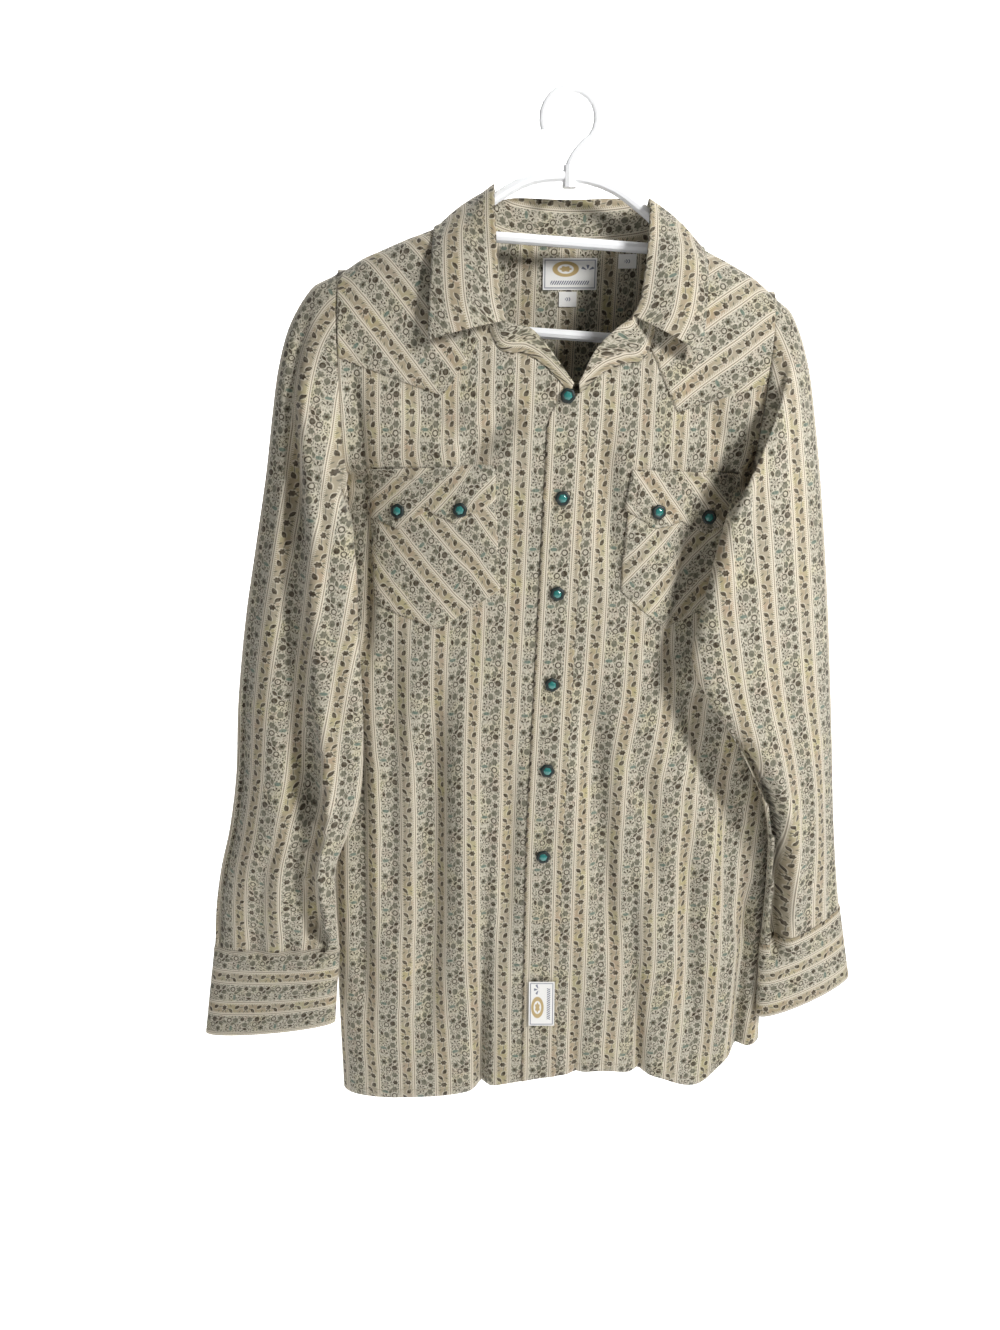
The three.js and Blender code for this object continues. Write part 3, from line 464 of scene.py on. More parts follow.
@dataclass(frozen=True)
class SleeveForm:
    """One sleeve with its cuff, as rings of points round a line from the armhole to the hand."""

    name: str
    rows: Table
    folds: tuple[SleeveFold, ...]

    def points(self, row: Array, angle: Array, height: float) -> Array:
        """Return the points a height outside the tube.

        Args:
            row: places along the sleeve by the table's rows.
            angle: angles round it, from its outer edge by its front.
            height: how far outside the inner face, in millimetres.

        Returns:
            Points in millimetres, one for each place.
        """
        step = 0.02
        inner = np.clip(row, step, len(self.rows.rows) - 1 - step)
        tucked = np.clip(-row / TUCK.rows, 0, 1)
        under = TUCK.under * np.sin(angle) ** 2
        height = height - under * (1 - smoothstep(0, TUCK.fades, row)) - (TUCK.below + under) * tucked
        along = self.bare(inner + step, angle) - self.bare(inner - step, angle)
        around = self.bare(inner, angle + step) - self.bare(inner, angle - step)
        normal = np.cross(around, along)
        normal /= np.linalg.norm(normal, axis=-1, keepdims=True) + 1e-9
        middle = self.bare(inner, angle) - self.bare(inner, angle + math.pi)
        normal *= np.where((normal * middle).sum(-1, keepdims=True) < 0, -1, 1)
        point = self.bare(np.maximum(row, 0), angle) + normal * height[..., None]
        point[..., 0] -= np.sign(self.rows.rows[0, 0]) * TUCK.in_by * tucked
        return point

    def bare(self, row: Array, angle: Array) -> Array:
        """Return the points of the tube's inner face."""
        out, inner = self.rows.point("out", row), self.rows.point("in", row)
        point = (out + inner) / 2 + (out - inner) / 2 * np.cos(angle)[..., None]
        sine = np.sin(angle)
        point[..., 1] -= sine * np.where(sine > 0, self.rows.at_row("front", row), self.rows.at_row("back", row))
        side = np.sign(self.rows.rows[0, 0])
        armhole = SIDES.follow("z", "left" if side < 0 else "right", point[..., 2])
        point[..., 0] += (armhole - point[..., 0]) * (1 - smoothstep(0, 1, row))
        point[..., 1] += sum((fold.press(row, angle) for fold in self.folds), np.zeros_like(sine))
        return self.before_body(point)

    @staticmethod
    def before_body(point: Array) -> Array:
        """Move the points forward where they would touch the front that they hang before."""
        x, y, z = point[..., 0], point[..., 1], point[..., 2]
        share = np.abs(share_at(x, z))
        limit = FRONT.depth(x, z) - SLEEVE_CLEARANCE
        pull = 1 - smoothstep(SLEEVE_EDGE_SHARE, 1, share)
        moved = np.where((share < 1) & (y > limit), y + (limit - y) * pull, y)
        return np.stack([x, moved, z], axis=-1)


SLEEVES = (
    SleeveForm(
        "right", SLEEVE_RIGHT,
        (
            SleeveFold(0.4, 5.4, 34, 83, 12, 9),
            SleeveFold(2.4, 9.6, 58, 99, 14, 16),
            SleeveFold(7.4, 13, 91, 132, 13, 19),
            SleeveFold(1.0, 4.8, 58, 100, 9, -4),
            SleeveFold(3.2, 9.4, 90, 124, 10, -8),
            SleeveFold(7.6, 12.6, 114, 152, 10, -9),
            SleeveFold(7, 13, 36, 24, 9, 6),
            SleeveFold(5, 12.5, 262, 285, 17, 4),
            SleeveFold(3, 9, 46, 28, 11, 4),
            SleeveFold(9.5, 13.2, 84, 74, 9, 6),
            SleeveFold(10.4, 13.2, 112, 104, 7, 5),
        ),
    ),
    SleeveForm(
        "left", SLEEVE_LEFT,
        (
            SleeveFold(8.2, 13.4, 158, 128, 10, 24),
            SleeveFold(8.0, 12.8, 128, 104, 10, -6),
            SleeveFold(4.5, 12, 262, 250, 17, 11),
            SleeveFold(1.2, 6, 100, 118, 14, 5),
            SleeveFold(6.5, 11, 75, 92, 13, 4),
            SleeveFold(9, 13, 50, 44, 10, 4),
        ),
    ),
)


class Form:
    """Mesh code that the cloth pieces share."""

    @staticmethod
    def grid(points: Array, cloth: Array) -> BMesh:
        """Make a sheet of quads over a grid of points.

        Args:
            points: rows by columns by 3.
            cloth: rows by columns by 2, each point's place in the flat cloth, in metres.

        Returns:
            The mesh, with the cloth's places as its UV map.
        """
        rows, columns = points.shape[:2]
        bm = bmesh.new()
        uv = bm.loops.layers.uv.new("cloth")
        bmesh.ops.create_grid(bm, x_segments=columns - 1, y_segments=rows - 1, size=1)
        bm.verts.ensure_lookup_table()
        flat, places = points.reshape(-1, 3), cloth.reshape(-1, 2)
        for vert, point in zip(bm.verts, flat):
            vert.co = point
        bm.verts.index_update()
        for face in bm.faces:
            for loop in face.loops:
                loop[uv].uv = places[loop.vert.index]
        return bm

    @staticmethod
    def cut(bm: BMesh, outline: Outline, keep_inside: bool = True) -> None:
        """Cut a flat sheet in the XZ plane along a closed outline.

        Args:
            bm: the sheet, in millimetres.
            outline: the corners.
            keep_inside: whether the part inside is kept, or the part outside.
        """
        corners = [Vector((x, 0, z)) for x, z in outline]
        low = [min(c[k] for c in corners) - 1 for k in (0, 2)]
        high = [max(c[k] for c in corners) + 1 for k in (0, 2)]
        if keep_inside:
            within = set(Form.near(bm, low, high))
            bmesh.ops.delete(bm, geom=[face for face in bm.faces if face not in within], context="FACES")
        for start, end in zip(corners, corners[1:] + corners[:1]):
            along = end - start
            if along.length < 0.01:
                continue
            low = [min(start[k], end[k]) - 0.5 for k in (0, 2)]
            high = [max(start[k], end[k]) + 0.5 for k in (0, 2)]
            near = Form.near(bm, low, high)
            if not near:
                continue
            edges = {edge for face in near for edge in face.edges}
            verts = {vert for face in near for vert in face.verts}
            bmesh.ops.bisect_plane(
                bm, geom=[*near, *edges, *verts], dist=0.02, plane_co=start, plane_no=(along.z, 0, -along.x)
            )
        doomed = [face for face in bm.faces if inside(outline, face.calc_center_median()) != keep_inside]
        bmesh.ops.delete(bm, geom=doomed, context="FACES")
        bmesh.ops.remove_doubles(bm, verts=bm.verts, dist=0.15)

    @staticmethod
    def near(bm: BMesh, low: Sequence[float], high: Sequence[float]) -> list[bmesh.types.BMFace]:
        """Return the faces that reach into a box of the XZ plane."""
        found = []
        for face in bm.faces:
            xs, zs = [v.co.x for v in face.verts], [v.co.z for v in face.verts]
            if max(xs) > low[0] and min(xs) < high[0] and max(zs) > low[1] and min(zs) < high[1]:
                found.append(face)
        return found

    @staticmethod
    def turn_cloth(bm: BMesh, degrees: float, shift: tuple[float, float] = (0, 0)) -> None:
        """Turn and shift the sheet's places in the flat cloth, so that its print runs on another grain."""
        uv = bm.loops.layers.uv.active
        cosine, sine = math.cos(math.radians(degrees)), math.sin(math.radians(degrees))
        for face in bm.faces:
            for loop in face.loops:
                u, v = loop[uv].uv
                loop[uv].uv = (cosine * u + sine * v + shift[0] * MM, cosine * v - sine * u + shift[1] * MM)

    @staticmethod
    def flat_cut(bm: BMesh) -> tuple[tuple[float, float], float]:
        """Return the flat cut's width and length, and its area, in metres."""
        uv = bm.loops.layers.uv.active
        places = np.array([loop[uv].uv for face in bm.faces for loop in face.loops])
        size = places.max(axis=0) - places.min(axis=0)
        area = 0.0
        for face in bm.faces:
            ring = [loop[uv].uv for loop in face.loops]
            area += abs(sum(a.x * b.y - b.x * a.y for a, b in zip(ring, ring[1:] + ring[:1]))) / 2
        return (float(size[0]), float(size[1])), min(area, float(size[0] * size[1]))


def inside(outline: Outline, point: Vector) -> bool:
    """Tell whether a point of the XZ plane lies inside a closed outline."""
    found = False
    for (ax, az), (bx, bz) in zip(outline, [*outline[1:], outline[0]]):
        if (az > point.z) != (bz > point.z) and point.x < (bx - ax) * (point.z - az) / (bz - az) + ax:
            found = not found
    return found


def piece_of(name: str, bm: BMesh, material: bpy.types.Material) -> bpy.types.Object:
    """Make a smooth object of a mesh in metres, riding on the body.

    Args:
        name: the piece's name.
        bm: its mesh, which is freed.
        material: its finish.

    Returns:
        The object, at the origin.
    """
    mesh = bpy.data.meshes.new(name)
    bm.to_mesh(mesh)
    bm.free()
    mesh.polygons.foreach_set("use_smooth", [True] * len(mesh.polygons))
    mesh.materials.append(material)
    piece = bpy.data.objects.new(name, mesh)
    bpy.context.scene.collection.objects.link(piece)
    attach(piece, BODY)
    return piece


def give_wall(piece: bpy.types.Object, thickness: float) -> None:
    """Give a sheet a thickness in millimetres, inwards."""
    wall = piece.modifiers.new("wall", "SOLIDIFY")
    wall.thickness = thickness * MM
    wall.offset = -1
    wall.use_rim = True


def fill(tree: Tree, node: bpy.types.Node, inputs: dict[str | int, object]) -> None:
    """Link sockets and signals to a node's inputs, and set the other inputs to their values."""
    for name, value in inputs.items():
        value = getattr(value, "socket", value)
        if isinstance(value, bpy.types.NodeSocket):
            tree.links.new(value, node.inputs[name])
        else:
            node.inputs[name].default_value = value


def add_node(tree: Tree, kind: str, inputs: dict[str | int, object], **settings: object) -> bpy.types.Node:
    """Add a node to a material.

    Args:
        tree: the material's nodes.
        kind: the node's type, without its first words.
        inputs: what goes into it, each a socket or signal to link, or a value to set.
        settings: the node's own settings.

    Returns:
        The node.
    """
    node = tree.nodes.new("ShaderNode" + kind)
    for name, value in settings.items():
        setattr(node, name, value)
    fill(tree, node, inputs)
    return node


def new_material(name: str) -> tuple[bpy.types.Material, Tree]:
    """Start a material, and return it with its nodes."""
    material = bpy.data.materials.new(name)
    material.use_nodes = True
    return material, material.node_tree


def set_shader(tree: Tree, inputs: dict[str, object], height: object, strength: float, deep: float) -> None:
    """Fill the shader's inputs and give it a bump.

    Args:
        tree: the material's nodes.
        inputs: what goes into the shader.
        height: the bump's height, a socket or a signal.
        strength: the bump's strength.
        deep: the bump's depth, in millimetres.
    """
    bump = add_node(tree, "Bump", {"Strength": strength, "Distance": deep * MM, "Height": height})
    fill(tree, tree.nodes["Principled BSDF"], {**inputs, "Normal": bump.outputs[0]})


def laid(tree: Tree, under: Socket | Triple, share: Signal, colour: Triple) -> Socket:
    """Lay a colour by a share over another one."""
    base = (*under, 1) if isinstance(under, tuple) else under
    mix = add_node(tree, "Mix", {}, data_type="RGBA")
    fill(tree, mix, {0: share, 6: base, 7: (*colour, 1)})
    return mix.outputs[2]


class Signal:
    """A number on a node's socket, written with ordinary arithmetic."""

    def __init__(self, tree: Tree, socket: Socket) -> None:
        """Keep the socket and the tree it is in."""
        self.tree = tree
        self.socket = socket

    @staticmethod
    def parts(tree: Tree, vector: Socket, axes: tuple[int, int] = (0, 1)) -> tuple[Signal, Signal]:
        """Return two of a vector's numbers."""
        split = add_node(tree, "SeparateXYZ", {0: vector})
        return Signal(tree, split.outputs[axes[0]]), Signal(tree, split.outputs[axes[1]])

    def math(self, operation: str, *others: Signal | float, clamp: bool = False) -> Signal:
        """Join this number with others by one operation.

        Args:
            operation: the Math node's operation.
            others: the other numbers.
            clamp: whether the result stays between 0 and 1.

        Returns:
            The result.
        """
        inputs = dict(enumerate((self, *others)))
        node = add_node(self.tree, "Math", inputs, operation=operation, use_clamp=clamp)
        return Signal(self.tree, node.outputs[0])

    def __add__(self, other: Signal | float) -> Signal:
        """Return the sum."""
        return self.math("ADD", other)

    def __sub__(self, other: Signal | float) -> Signal:
        """Return the difference."""
        return self.math("SUBTRACT", other)

    def __mul__(self, other: Signal | float) -> Signal:
        """Return the product."""
        return self.math("MULTIPLY", other)

    def __abs__(self) -> Signal:
        """Return the size without its sign."""
        return self.math("ABSOLUTE")

    def larger(self, other: Signal | float) -> Signal:
        """Return the larger of the two."""
        return self.math("MAXIMUM", other)

    def smaller(self, other: Signal | float) -> Signal:
        """Return the smaller of the two."""
        return self.math("MINIMUM", other)

    def within(self, period: float) -> Signal:
        """Return the place in a repeat, from minus half of it to half of it."""
        return (self + period / 2).math("FLOORED_MODULO", period) - period / 2

    def under(self, edge: float, soft: float) -> Signal:
        """Return 1 where this is under the edge, fading to 0 over the soft width."""
        return self.math("MULTIPLY_ADD", -1 / soft, edge / soft + 0.5, clamp=True)

    def over(self, edge: float, soft: float) -> Signal:
        """Return 1 where this is over the edge, fading to 0 over the soft width."""
        return self.math("MULTIPLY_ADD", 1 / soft, 0.5 - edge / soft, clamp=True)

    def rest(self) -> Signal:
        """Return 1 less this."""
        return self.math("MULTIPLY_ADD", -1, 1)


class Kind(Enum):
    """The forms that the print's marks take."""

    OVAL = "oval"
    LEAF = "leaf"
    RING = "ring"
    FAN = "fan"
    BLOSSOM = "blossom"
    DOTS = "dots"


class Ink(Enum):
    """The print's colours, each laid over the one before."""

    PALE = (0.71, 0.65, 0.53)
    GREY = (0.125, 0.12, 0.085)
    TEAL = (0.12, 0.165, 0.13)
    BROWN = (0.043, 0.03, 0.016)


@dataclass(frozen=True)
class Mark:
    """One mark of the print in its stripe's repeat, in millimetres and degrees."""

    kind: Kind
    ink: Ink
    x: float
    y: float
    width: float
    height: float
    turn: float = 0


NARROW_MARKS = (
    Mark(Kind.BLOSSOM, Ink.BROWN, 0.8, 0, 3.3, 3.0),
    Mark(Kind.LEAF, Ink.BROWN, 1.5, -11.0, 3.8, 2.1, 60),
    Mark(Kind.LEAF, Ink.BROWN, -2.7, 8.2, 3.4, 1.8, -40),
    Mark(Kind.LEAF, Ink.GREY, -3.4, 1.8, 2.2, 0.7, -20),
    Mark(Kind.LEAF, Ink.GREY, -3.3, -1.4, 2.2, 0.7, 25),
    Mark(Kind.LEAF, Ink.GREY, 1.6, -5.6, 3.2, 0.6, 80),
    Mark(Kind.LEAF, Ink.GREY, -0.8, 5.0, 2.6, 0.6, 115),
    Mark(Kind.LEAF, Ink.GREY, -3.6, -7.0, 1.9, 0.6, 35),
    Mark(Kind.LEAF, Ink.GREY, 3.4, 7.6, 1.9, 0.6, -30),
)
WIDE_MARKS = (
    Mark(Kind.BLOSSOM, Ink.GREY, -5.6, 20.5, 3.7, 3.6),
    Mark(Kind.OVAL, Ink.BROWN, -5.6, 20.5, 1.3, 1.3),
    Mark(Kind.OVAL, Ink.BROWN, 5.4, 15.0, 3.0, 2.9),
    Mark(Kind.RING, Ink.BROWN, -1.2, 13.0, 2.8, 2.8),
    Mark(Kind.BLOSSOM, Ink.GREY, 5.2, 6.4, 3.6, 3.4),
    Mark(Kind.DOTS, Ink.BROWN, -5.0, 8.0, 3.4, 3.2),
    Mark(Kind.OVAL, Ink.GREY, -1.4, 1.2, 2.8, 3.4),
    Mark(Kind.BLOSSOM, Ink.BROWN, 5.8, -2.4, 2.9, 2.9),
    Mark(Kind.DOTS, Ink.BROWN, -4.6, -7.0, 4.4, 4.2),
    Mark(Kind.DOTS, Ink.BROWN, -4.6, -7.0, 2.3, 2.2, 25),
    Mark(Kind.BLOSSOM, Ink.GREY, 4.8, -10.6, 3.4, 3.8),
    Mark(Kind.OVAL, Ink.TEAL, -5.2, -15.4, 3.4, 1.6),
    Mark(Kind.RING, Ink.BROWN, 4.6, -18.4, 3.0, 3.0),
    Mark(Kind.FAN, Ink.BROWN, -4.6, -22.6, 4.4, 4.2, 90),
    Mark(Kind.LEAF, Ink.BROWN, 6.0, 22.6, 3.2, 1.7, 40),
    Mark(Kind.LEAF, Ink.GREY, 0.4, -13.8, 3.2, 1.6, 70),
    Mark(Kind.OVAL, Ink.GREY, 1.2, 23.6, 2.2, 2.8),
    Mark(Kind.LEAF, Ink.BROWN, -6.6, 1.8, 3.0, 1.5, 100),
    Mark(Kind.LEAF, Ink.GREY, 3.0, -24.0, 3.2, 1.5, 120),
    Mark(Kind.LEAF, Ink.BROWN, 1.2, 18.4, 3.0, 1.3, 45),
)


@dataclass(frozen=True)
class Print:
    """The striped sprig print on the cloth, and the cloth's own weave and sheen."""

    period: float = 38
    narrow_half: float = 6.1
    band_half: float = 9.0
    line_half: float = 0.55
    narrow_repeat: float = 26.25
    wide_repeat: float = 52.5
    ground: Triple = (0.29, 0.27, 0.205)
    narrow_ground: Triple = (0.37, 0.3, 0.195)
    line_ink: Triple = (0.17, 0.135, 0.09)
    yellow: Triple = (0.42, 0.38, 0.17)
    rust: Triple = (0.42, 0.26, 0.18)
    ash: Triple = (0.36, 0.355, 0.3)
    haloed: float = 2.7
    halo_share: float = 0.45
    stroke_share: float = 0.75
    roughness: float = 0.88
    sheen: float = 0.15

    def material(self, name: str) -> bpy.types.Material:
        """Build the material.

        Args:
            name: the material's name.

        Returns:
            The material, which reads the piece's own map of the flat cloth.
        """
        material, tree = new_material(name)
        uv_map = add_node(tree, "UVMap", {}, uv_map="cloth")
        scaled = add_node(tree, "VectorMath", {}, operation="SCALE")
        fill(tree, scaled, {0: uv_map.outputs[0], "Scale": 1 / MM})
        place = scaled.outputs[0]
        across, along = Signal.parts(tree, place)
        narrow = across.within(self.period)
        wide = (across + self.period / 2).within(self.period)
        in_narrow = abs(narrow).under(self.narrow_half, 0.3)
        in_wide = abs(narrow).over(self.band_half, 0.3)
        inks, halo = self.marks(
            tree, (NARROW_MARKS, narrow, along.within(self.narrow_repeat), in_narrow),
            (WIDE_MARKS, wide, along.within(self.wide_repeat), in_wide),
        )
        fine = self.sprigs(tree, place, 0.42, 2.3)
        coarse = self.sprigs(tree, place, 0.27, 3.1)
        free = in_wide * halo.math("MULTIPLY_ADD", -self.halo_share, 1, clamp=True)
        inks[Ink.GREY] = inks[Ink.GREY].larger(fine.under(0.28, 0.1) * free * self.stroke_share)
        inks[Ink.BROWN] = inks[Ink.BROWN].larger(coarse.under(0.24, 0.08) * free * self.stroke_share)
        specks = fine.over(0.52, 0.16).larger(coarse.over(0.3, 0.08) * coarse.under(0.42, 0.08))
        paler = (specks * free * 0.62).larger(halo * self.halo_share)
        ticks = self.ticks(narrow, along) * in_narrow
        lines = abs(abs(narrow) - (self.narrow_half + self.band_half) / 2).under(self.line_half, 0.4)
        beads = abs(along.within(1.6)).under(0.62, 0.4).math("MULTIPLY_ADD", 0.5, 0.5)
        band = in_narrow.rest().smaller(in_wide.rest())
        colour = self.ground_colour(tree, place, in_narrow)
        colour = laid(tree, colour, (band * 0.9).larger(paler).larger(ticks * 0.75), Ink.PALE.value)
        colour = laid(tree, colour, lines * beads * band * 0.85, self.line_ink)
        fade = self.noise(tree, place, 0.3).math("MULTIPLY_ADD", 0.5, 0.65, clamp=True)
        for ink in (Ink.GREY, Ink.TEAL, Ink.BROWN):
            colour = laid(tree, colour, inks[ink] * fade, ink.value)
        inputs = {
            "Base Color": colour, "Roughness": self.roughness, "Specular IOR Level": 0.25,
            "Sheen Weight": self.sheen, "Sheen Roughness": 0.5,
        }
        set_shader(tree, inputs, self.weave(tree, place), 0.25, 0.15)
        return material

    def marks(self, tree: Tree, *stripes: tuple[Sequence[Mark], Signal, Signal, Signal]) -> tuple[dict, Signal]:
        """Draw the larger marks of every stripe.

        Args:
            tree: the material's nodes.
            stripes: for each, its marks, the place across and along its repeat, and where it is.

        Returns:
            Each ink's share, and the pale ground round the larger marks.
        """
        inks: dict[Ink, Signal] = {}
        halo: Signal | None = None
        for marks, x, y, stripe in stripes:
            spot = self.joined(tree, x, y)
            for mark in marks:
                drawn, round_it = self.draw(tree, spot, mark)
                drawn = drawn * stripe
                inks[mark.ink] = inks[mark.ink].larger(drawn) if mark.ink in inks else drawn
                if mark.width > self.haloed:
                    round_it = round_it * stripe
                    halo = halo.larger(round_it) if halo else round_it
        return inks, halo

    @staticmethod
    def joined(tree: Tree, x: Signal, y: Signal) -> Socket:
        """Return one vector of two numbers."""
        return add_node(tree, "CombineXYZ", {0: x, 1: y}).outputs[0]

    @staticmethod
    def draw(tree: Tree, spot: Socket, mark: Mark) -> tuple[Signal, Signal]:
        """Draw one mark.

        Args:
            tree: the material's nodes.
            spot: the place in the stripe's repeat.
            mark: what to draw.

        Returns:
            1 on the mark and 0 off it, and the same for a ground a little wider than it.
        """
        seat = {
            0: spot, "Location": (mark.x, mark.y, 0), "Rotation": (0, 0, math.radians(mark.turn)),
            "Scale": (mark.width, mark.height, 1),
        }
        own = add_node(tree, "Mapping", seat, vector_type="TEXTURE").outputs[0]
        away = add_node(tree, "VectorMath", {0: own}, operation="LENGTH")
        radius = Signal(tree, away.outputs["Value"])
        soft = 0.5 / mark.height
        wider = radius.under(1.24, soft)
        if mark.kind is Kind.OVAL:
            return radius.under(1, soft), wider
        if mark.kind is Kind.RING:
            return abs(radius - 0.82).under(0.2, soft), wider
        x, y = Signal.parts(tree, own)
        if mark.kind is Kind.LEAF:
            shape = (x * x) + abs(y)
            return shape.under(1, soft), shape.under(1.5, soft)
        angle = y.math("ARCTAN2", x)
        if mark.kind is Kind.BLOSSOM:
            return (radius - (angle * 6).math("COSINE") * 0.13).under(0.85, soft), wider
        if mark.kind is Kind.DOTS:
            beads = (angle * 7).math("COSINE").over(0.2, 0.5)
            return abs(radius - 0.8).under(0.22, soft) * beads, wider
        petals = (angle * 6).math("COSINE").over(0.1, 0.6)
        upper = x.over(-0.1, 0.2)
        return radius.under(1, soft) * radius.over(0.25, 0.2) * petals * upper, wider

    @staticmethod
    def sprigs(tree: Tree, place: Socket, scale: float, turn: float) -> Signal:
        """Return the distance to the nearest of many tiny strokes, laid out at a scale and a turn."""
        turned = add_node(tree, "Mapping", {0: place, "Rotation": (0, 0, turn), "Scale": (1.4, 0.85, 1)})
        cells = add_node(tree, "TexVoronoi", {}, voronoi_dimensions="2D")
        fill(tree, cells, {"Scale": scale, "Vector": turned.outputs[0]})
        return Signal(tree, cells.outputs["Distance"])

    @staticmethod
    def ticks(narrow: Signal, along: Signal) -> Signal:
        """Return the short slanted ticks along both edges of a narrow stripe."""
        slant = (along + abs(narrow) * 0.7).within(1.9)
        return abs(slant).under(0.42, 0.4) * abs(narrow).over(4.3, 0.5)

    @staticmethod
    def noise(tree: Tree, place: Socket, scale: float) -> Signal:
        """Return a soft noise from 0 to 1 over the flat cloth."""
        node = add_node(tree, "TexNoise", {"Scale": scale, "Vector": place}, noise_dimensions="2D")
        return Signal(tree, node.outputs["Fac"])

    def ground_colour(self, tree: Tree, place: Socket, in_narrow: Signal) -> Socket:
        """Return the ground, a little yellower in the narrow stripes and uneven all over."""
        colour = laid(tree, self.ground, in_narrow * 0.8, self.narrow_ground)
        colour = laid(tree, colour, self.noise(tree, place, 0.035).over(0.6, 0.16) * 0.5, self.yellow)
        colour = laid(tree, colour, self.noise(tree, place, 0.05).under(0.36, 0.14) * 0.3, self.rust)
        return laid(tree, colour, self.noise(tree, place, 0.016).under(0.47, 0.3) * 0.35, self.ash)

    @staticmethod
    def weave(tree: Tree, place: Socket) -> Signal:
        """Return the height of the cloth's plain weave."""
        inputs = {"Scale": 0.9, "Distortion": 0.6, "Vector": place}
        waves = [add_node(tree, "TexWave", inputs, bands_direction=way) for way in ("X", "Y")]
        warp, weft = (Signal(tree, wave.outputs["Fac"]) for wave in waves)
        return warp * weft


@dataclass(frozen=True)
class Moulding:
    """A smooth plain plastic or enamel."""

    name: str
    colour: Triple
    second: Triple
    roughness: float
    grain: float
    coat: float = 0

    def material(self) -> bpy.types.Material:
        """Build the material, with a faint unevenness of colour and surface."""
        material, tree = new_material(self.name)
        place = add_node(tree, "TexCoord", {}).outputs["Object"]
        noise = Signal(tree, add_node(tree, "TexNoise", {"Scale": self.grain, "Vector": place}).outputs["Fac"])
        colour = laid(tree, self.colour, noise, self.second)
        inputs = {"Base Color": colour, "Roughness": self.roughness, "Coat Weight": self.coat}
        set_shader(tree, inputs, noise, 0.05, 0.1)
        return material


@dataclass(frozen=True)
class WovenLabel:
    """A satin label with a navy frame, a gold oval and rows of small woven strokes."""

    name: str
    x: float
    z: float
    width: float
    height: float
    upright: bool = False
    plain: bool = False
    satin: Triple = (0.8, 0.79, 0.76)
    thread: Triple = (0.6, 0.59, 0.57)
    navy: Triple = (0.03, 0.04, 0.11)
    gold: Triple = (0.42, 0.28, 0.07)

    def material(self) -> bpy.types.Material:
        """Build the material, which reads the label's place on the shirt."""
        material, tree = new_material(self.name)
        place = add_node(tree, "TexCoord", {}).outputs["Object"]
        x, z = Signal.parts(tree, place, (0, 2))
        across, up = x * (1 / MM) - self.x, z * (1 / MM) - self.z
        width, height = self.width, self.height
        if self.upright:
            across, up, width, height = up, across * -1, height, width
        weave = abs(up.within(0.7)).over(0.2, 0.2) * 0.12
        colour = laid(tree, self.satin, weave, self.thread)
        strokes = abs((across + abs(up) * 0.6).within(2.1)).under(0.55, 0.3)
        if self.plain:
            mark = strokes * abs(up).under(1.6, 0.4) * abs(across).under(2.4, 0.3)
            colour = laid(tree, colour, mark * 0.8, self.navy)
        else:
            edge = abs(across).over(width * 0.5 - 2.2, 0.3).larger(abs(up).over(height * 0.5 - 2.2, 0.3))
            inner = abs(across).under(width * 0.5 - 1.3, 0.3) * abs(up).under(height * 0.5 - 1.3, 0.3)
            colour = laid(tree, colour, edge * inner * 0.75, self.navy)
            rows = abs(up + height * 0.27).under(1.7, 0.3) * abs(across).under(width * 0.36, 0.4)
            colour = laid(tree, colour, strokes * rows * 0.9, self.navy)
            spot = Print.joined(tree, across, up)
            left, top = -width * 0.08, height * 0.16
            for share, ink, mark in (
                (0.85, self.navy, Mark(Kind.FAN, Ink.BROWN, width * 0.33, height * 0.12, 4.6, 6.2, 90)),
                (0.9, self.gold, Mark(Kind.RING, Ink.BROWN, left, top, width * 0.24, height * 0.24)),
                (0.9, self.gold, Mark(Kind.BLOSSOM, Ink.BROWN, left, top, width * 0.12, height * 0.1)),
            ):
                colour = laid(tree, colour, Print.draw(tree, spot, mark)[0] * share, ink)
        set_shader(tree, {"Base Color": colour, "Roughness": 0.42, "Sheen Weight": 0.3}, weave, 0.3, 0.1)
        return material


LABELS = {
    "label_neck": WovenLabel("neck_label_satin", 3.5, -142.5, 49, 27),
    "label_size": WovenLabel("size_tab_satin", 2, -164, 16, 13, plain=True),
    "label_care": WovenLabel("care_tag_satin", 55, -132, 16, 12, plain=True),
    "label_placket": WovenLabel("placket_label_satin", -18, -844.5, 26, 50, upright=True),
}
YOKE_RIGHT = ((-240, -40), (-240, -206), (-201, -217), (-110, -249), (-66, -187), (-40, -40))
YOKE_LEFT = ((240, -40), (240, -222), (171, -240), (95, -263), (60, -187), (40, -40))
BACK_YOKE = (
    (-240, -40), (-240, -236), (-201, -236), (-100, -214), (-8, -262), (88, -216), (172, -240), (240, -240),
    (240, -40),
)
POCKET_RIGHT = ((-178, -318), (-175, -436), (-117, -457), (-60, -420), (-64, -316))
POCKET_LEFT = ((57, -318), (50, -421), (93, -459), (153, -430), (161, -322))
FLAP_RIGHT = ((-179, -312), (-180, -356), (-151, -367), (-125, -349), (-99, -361), (-63, -339), (-64, -309))
FLAP_LEFT = ((57, -312), (52, -347), (80, -365), (104, -359), (128, -372), (160, -356), (162, -316))
LINE_HEIGHTS = (
    -150, -200, -247, -290, -337, -380, -423, -470, -509, -550, -594, -640, -683, -750, -820, -900, -1000,
)
PLACKET_TOPS = (-236, -243, -250, -262, -275)
PLACKET_HALF = 17


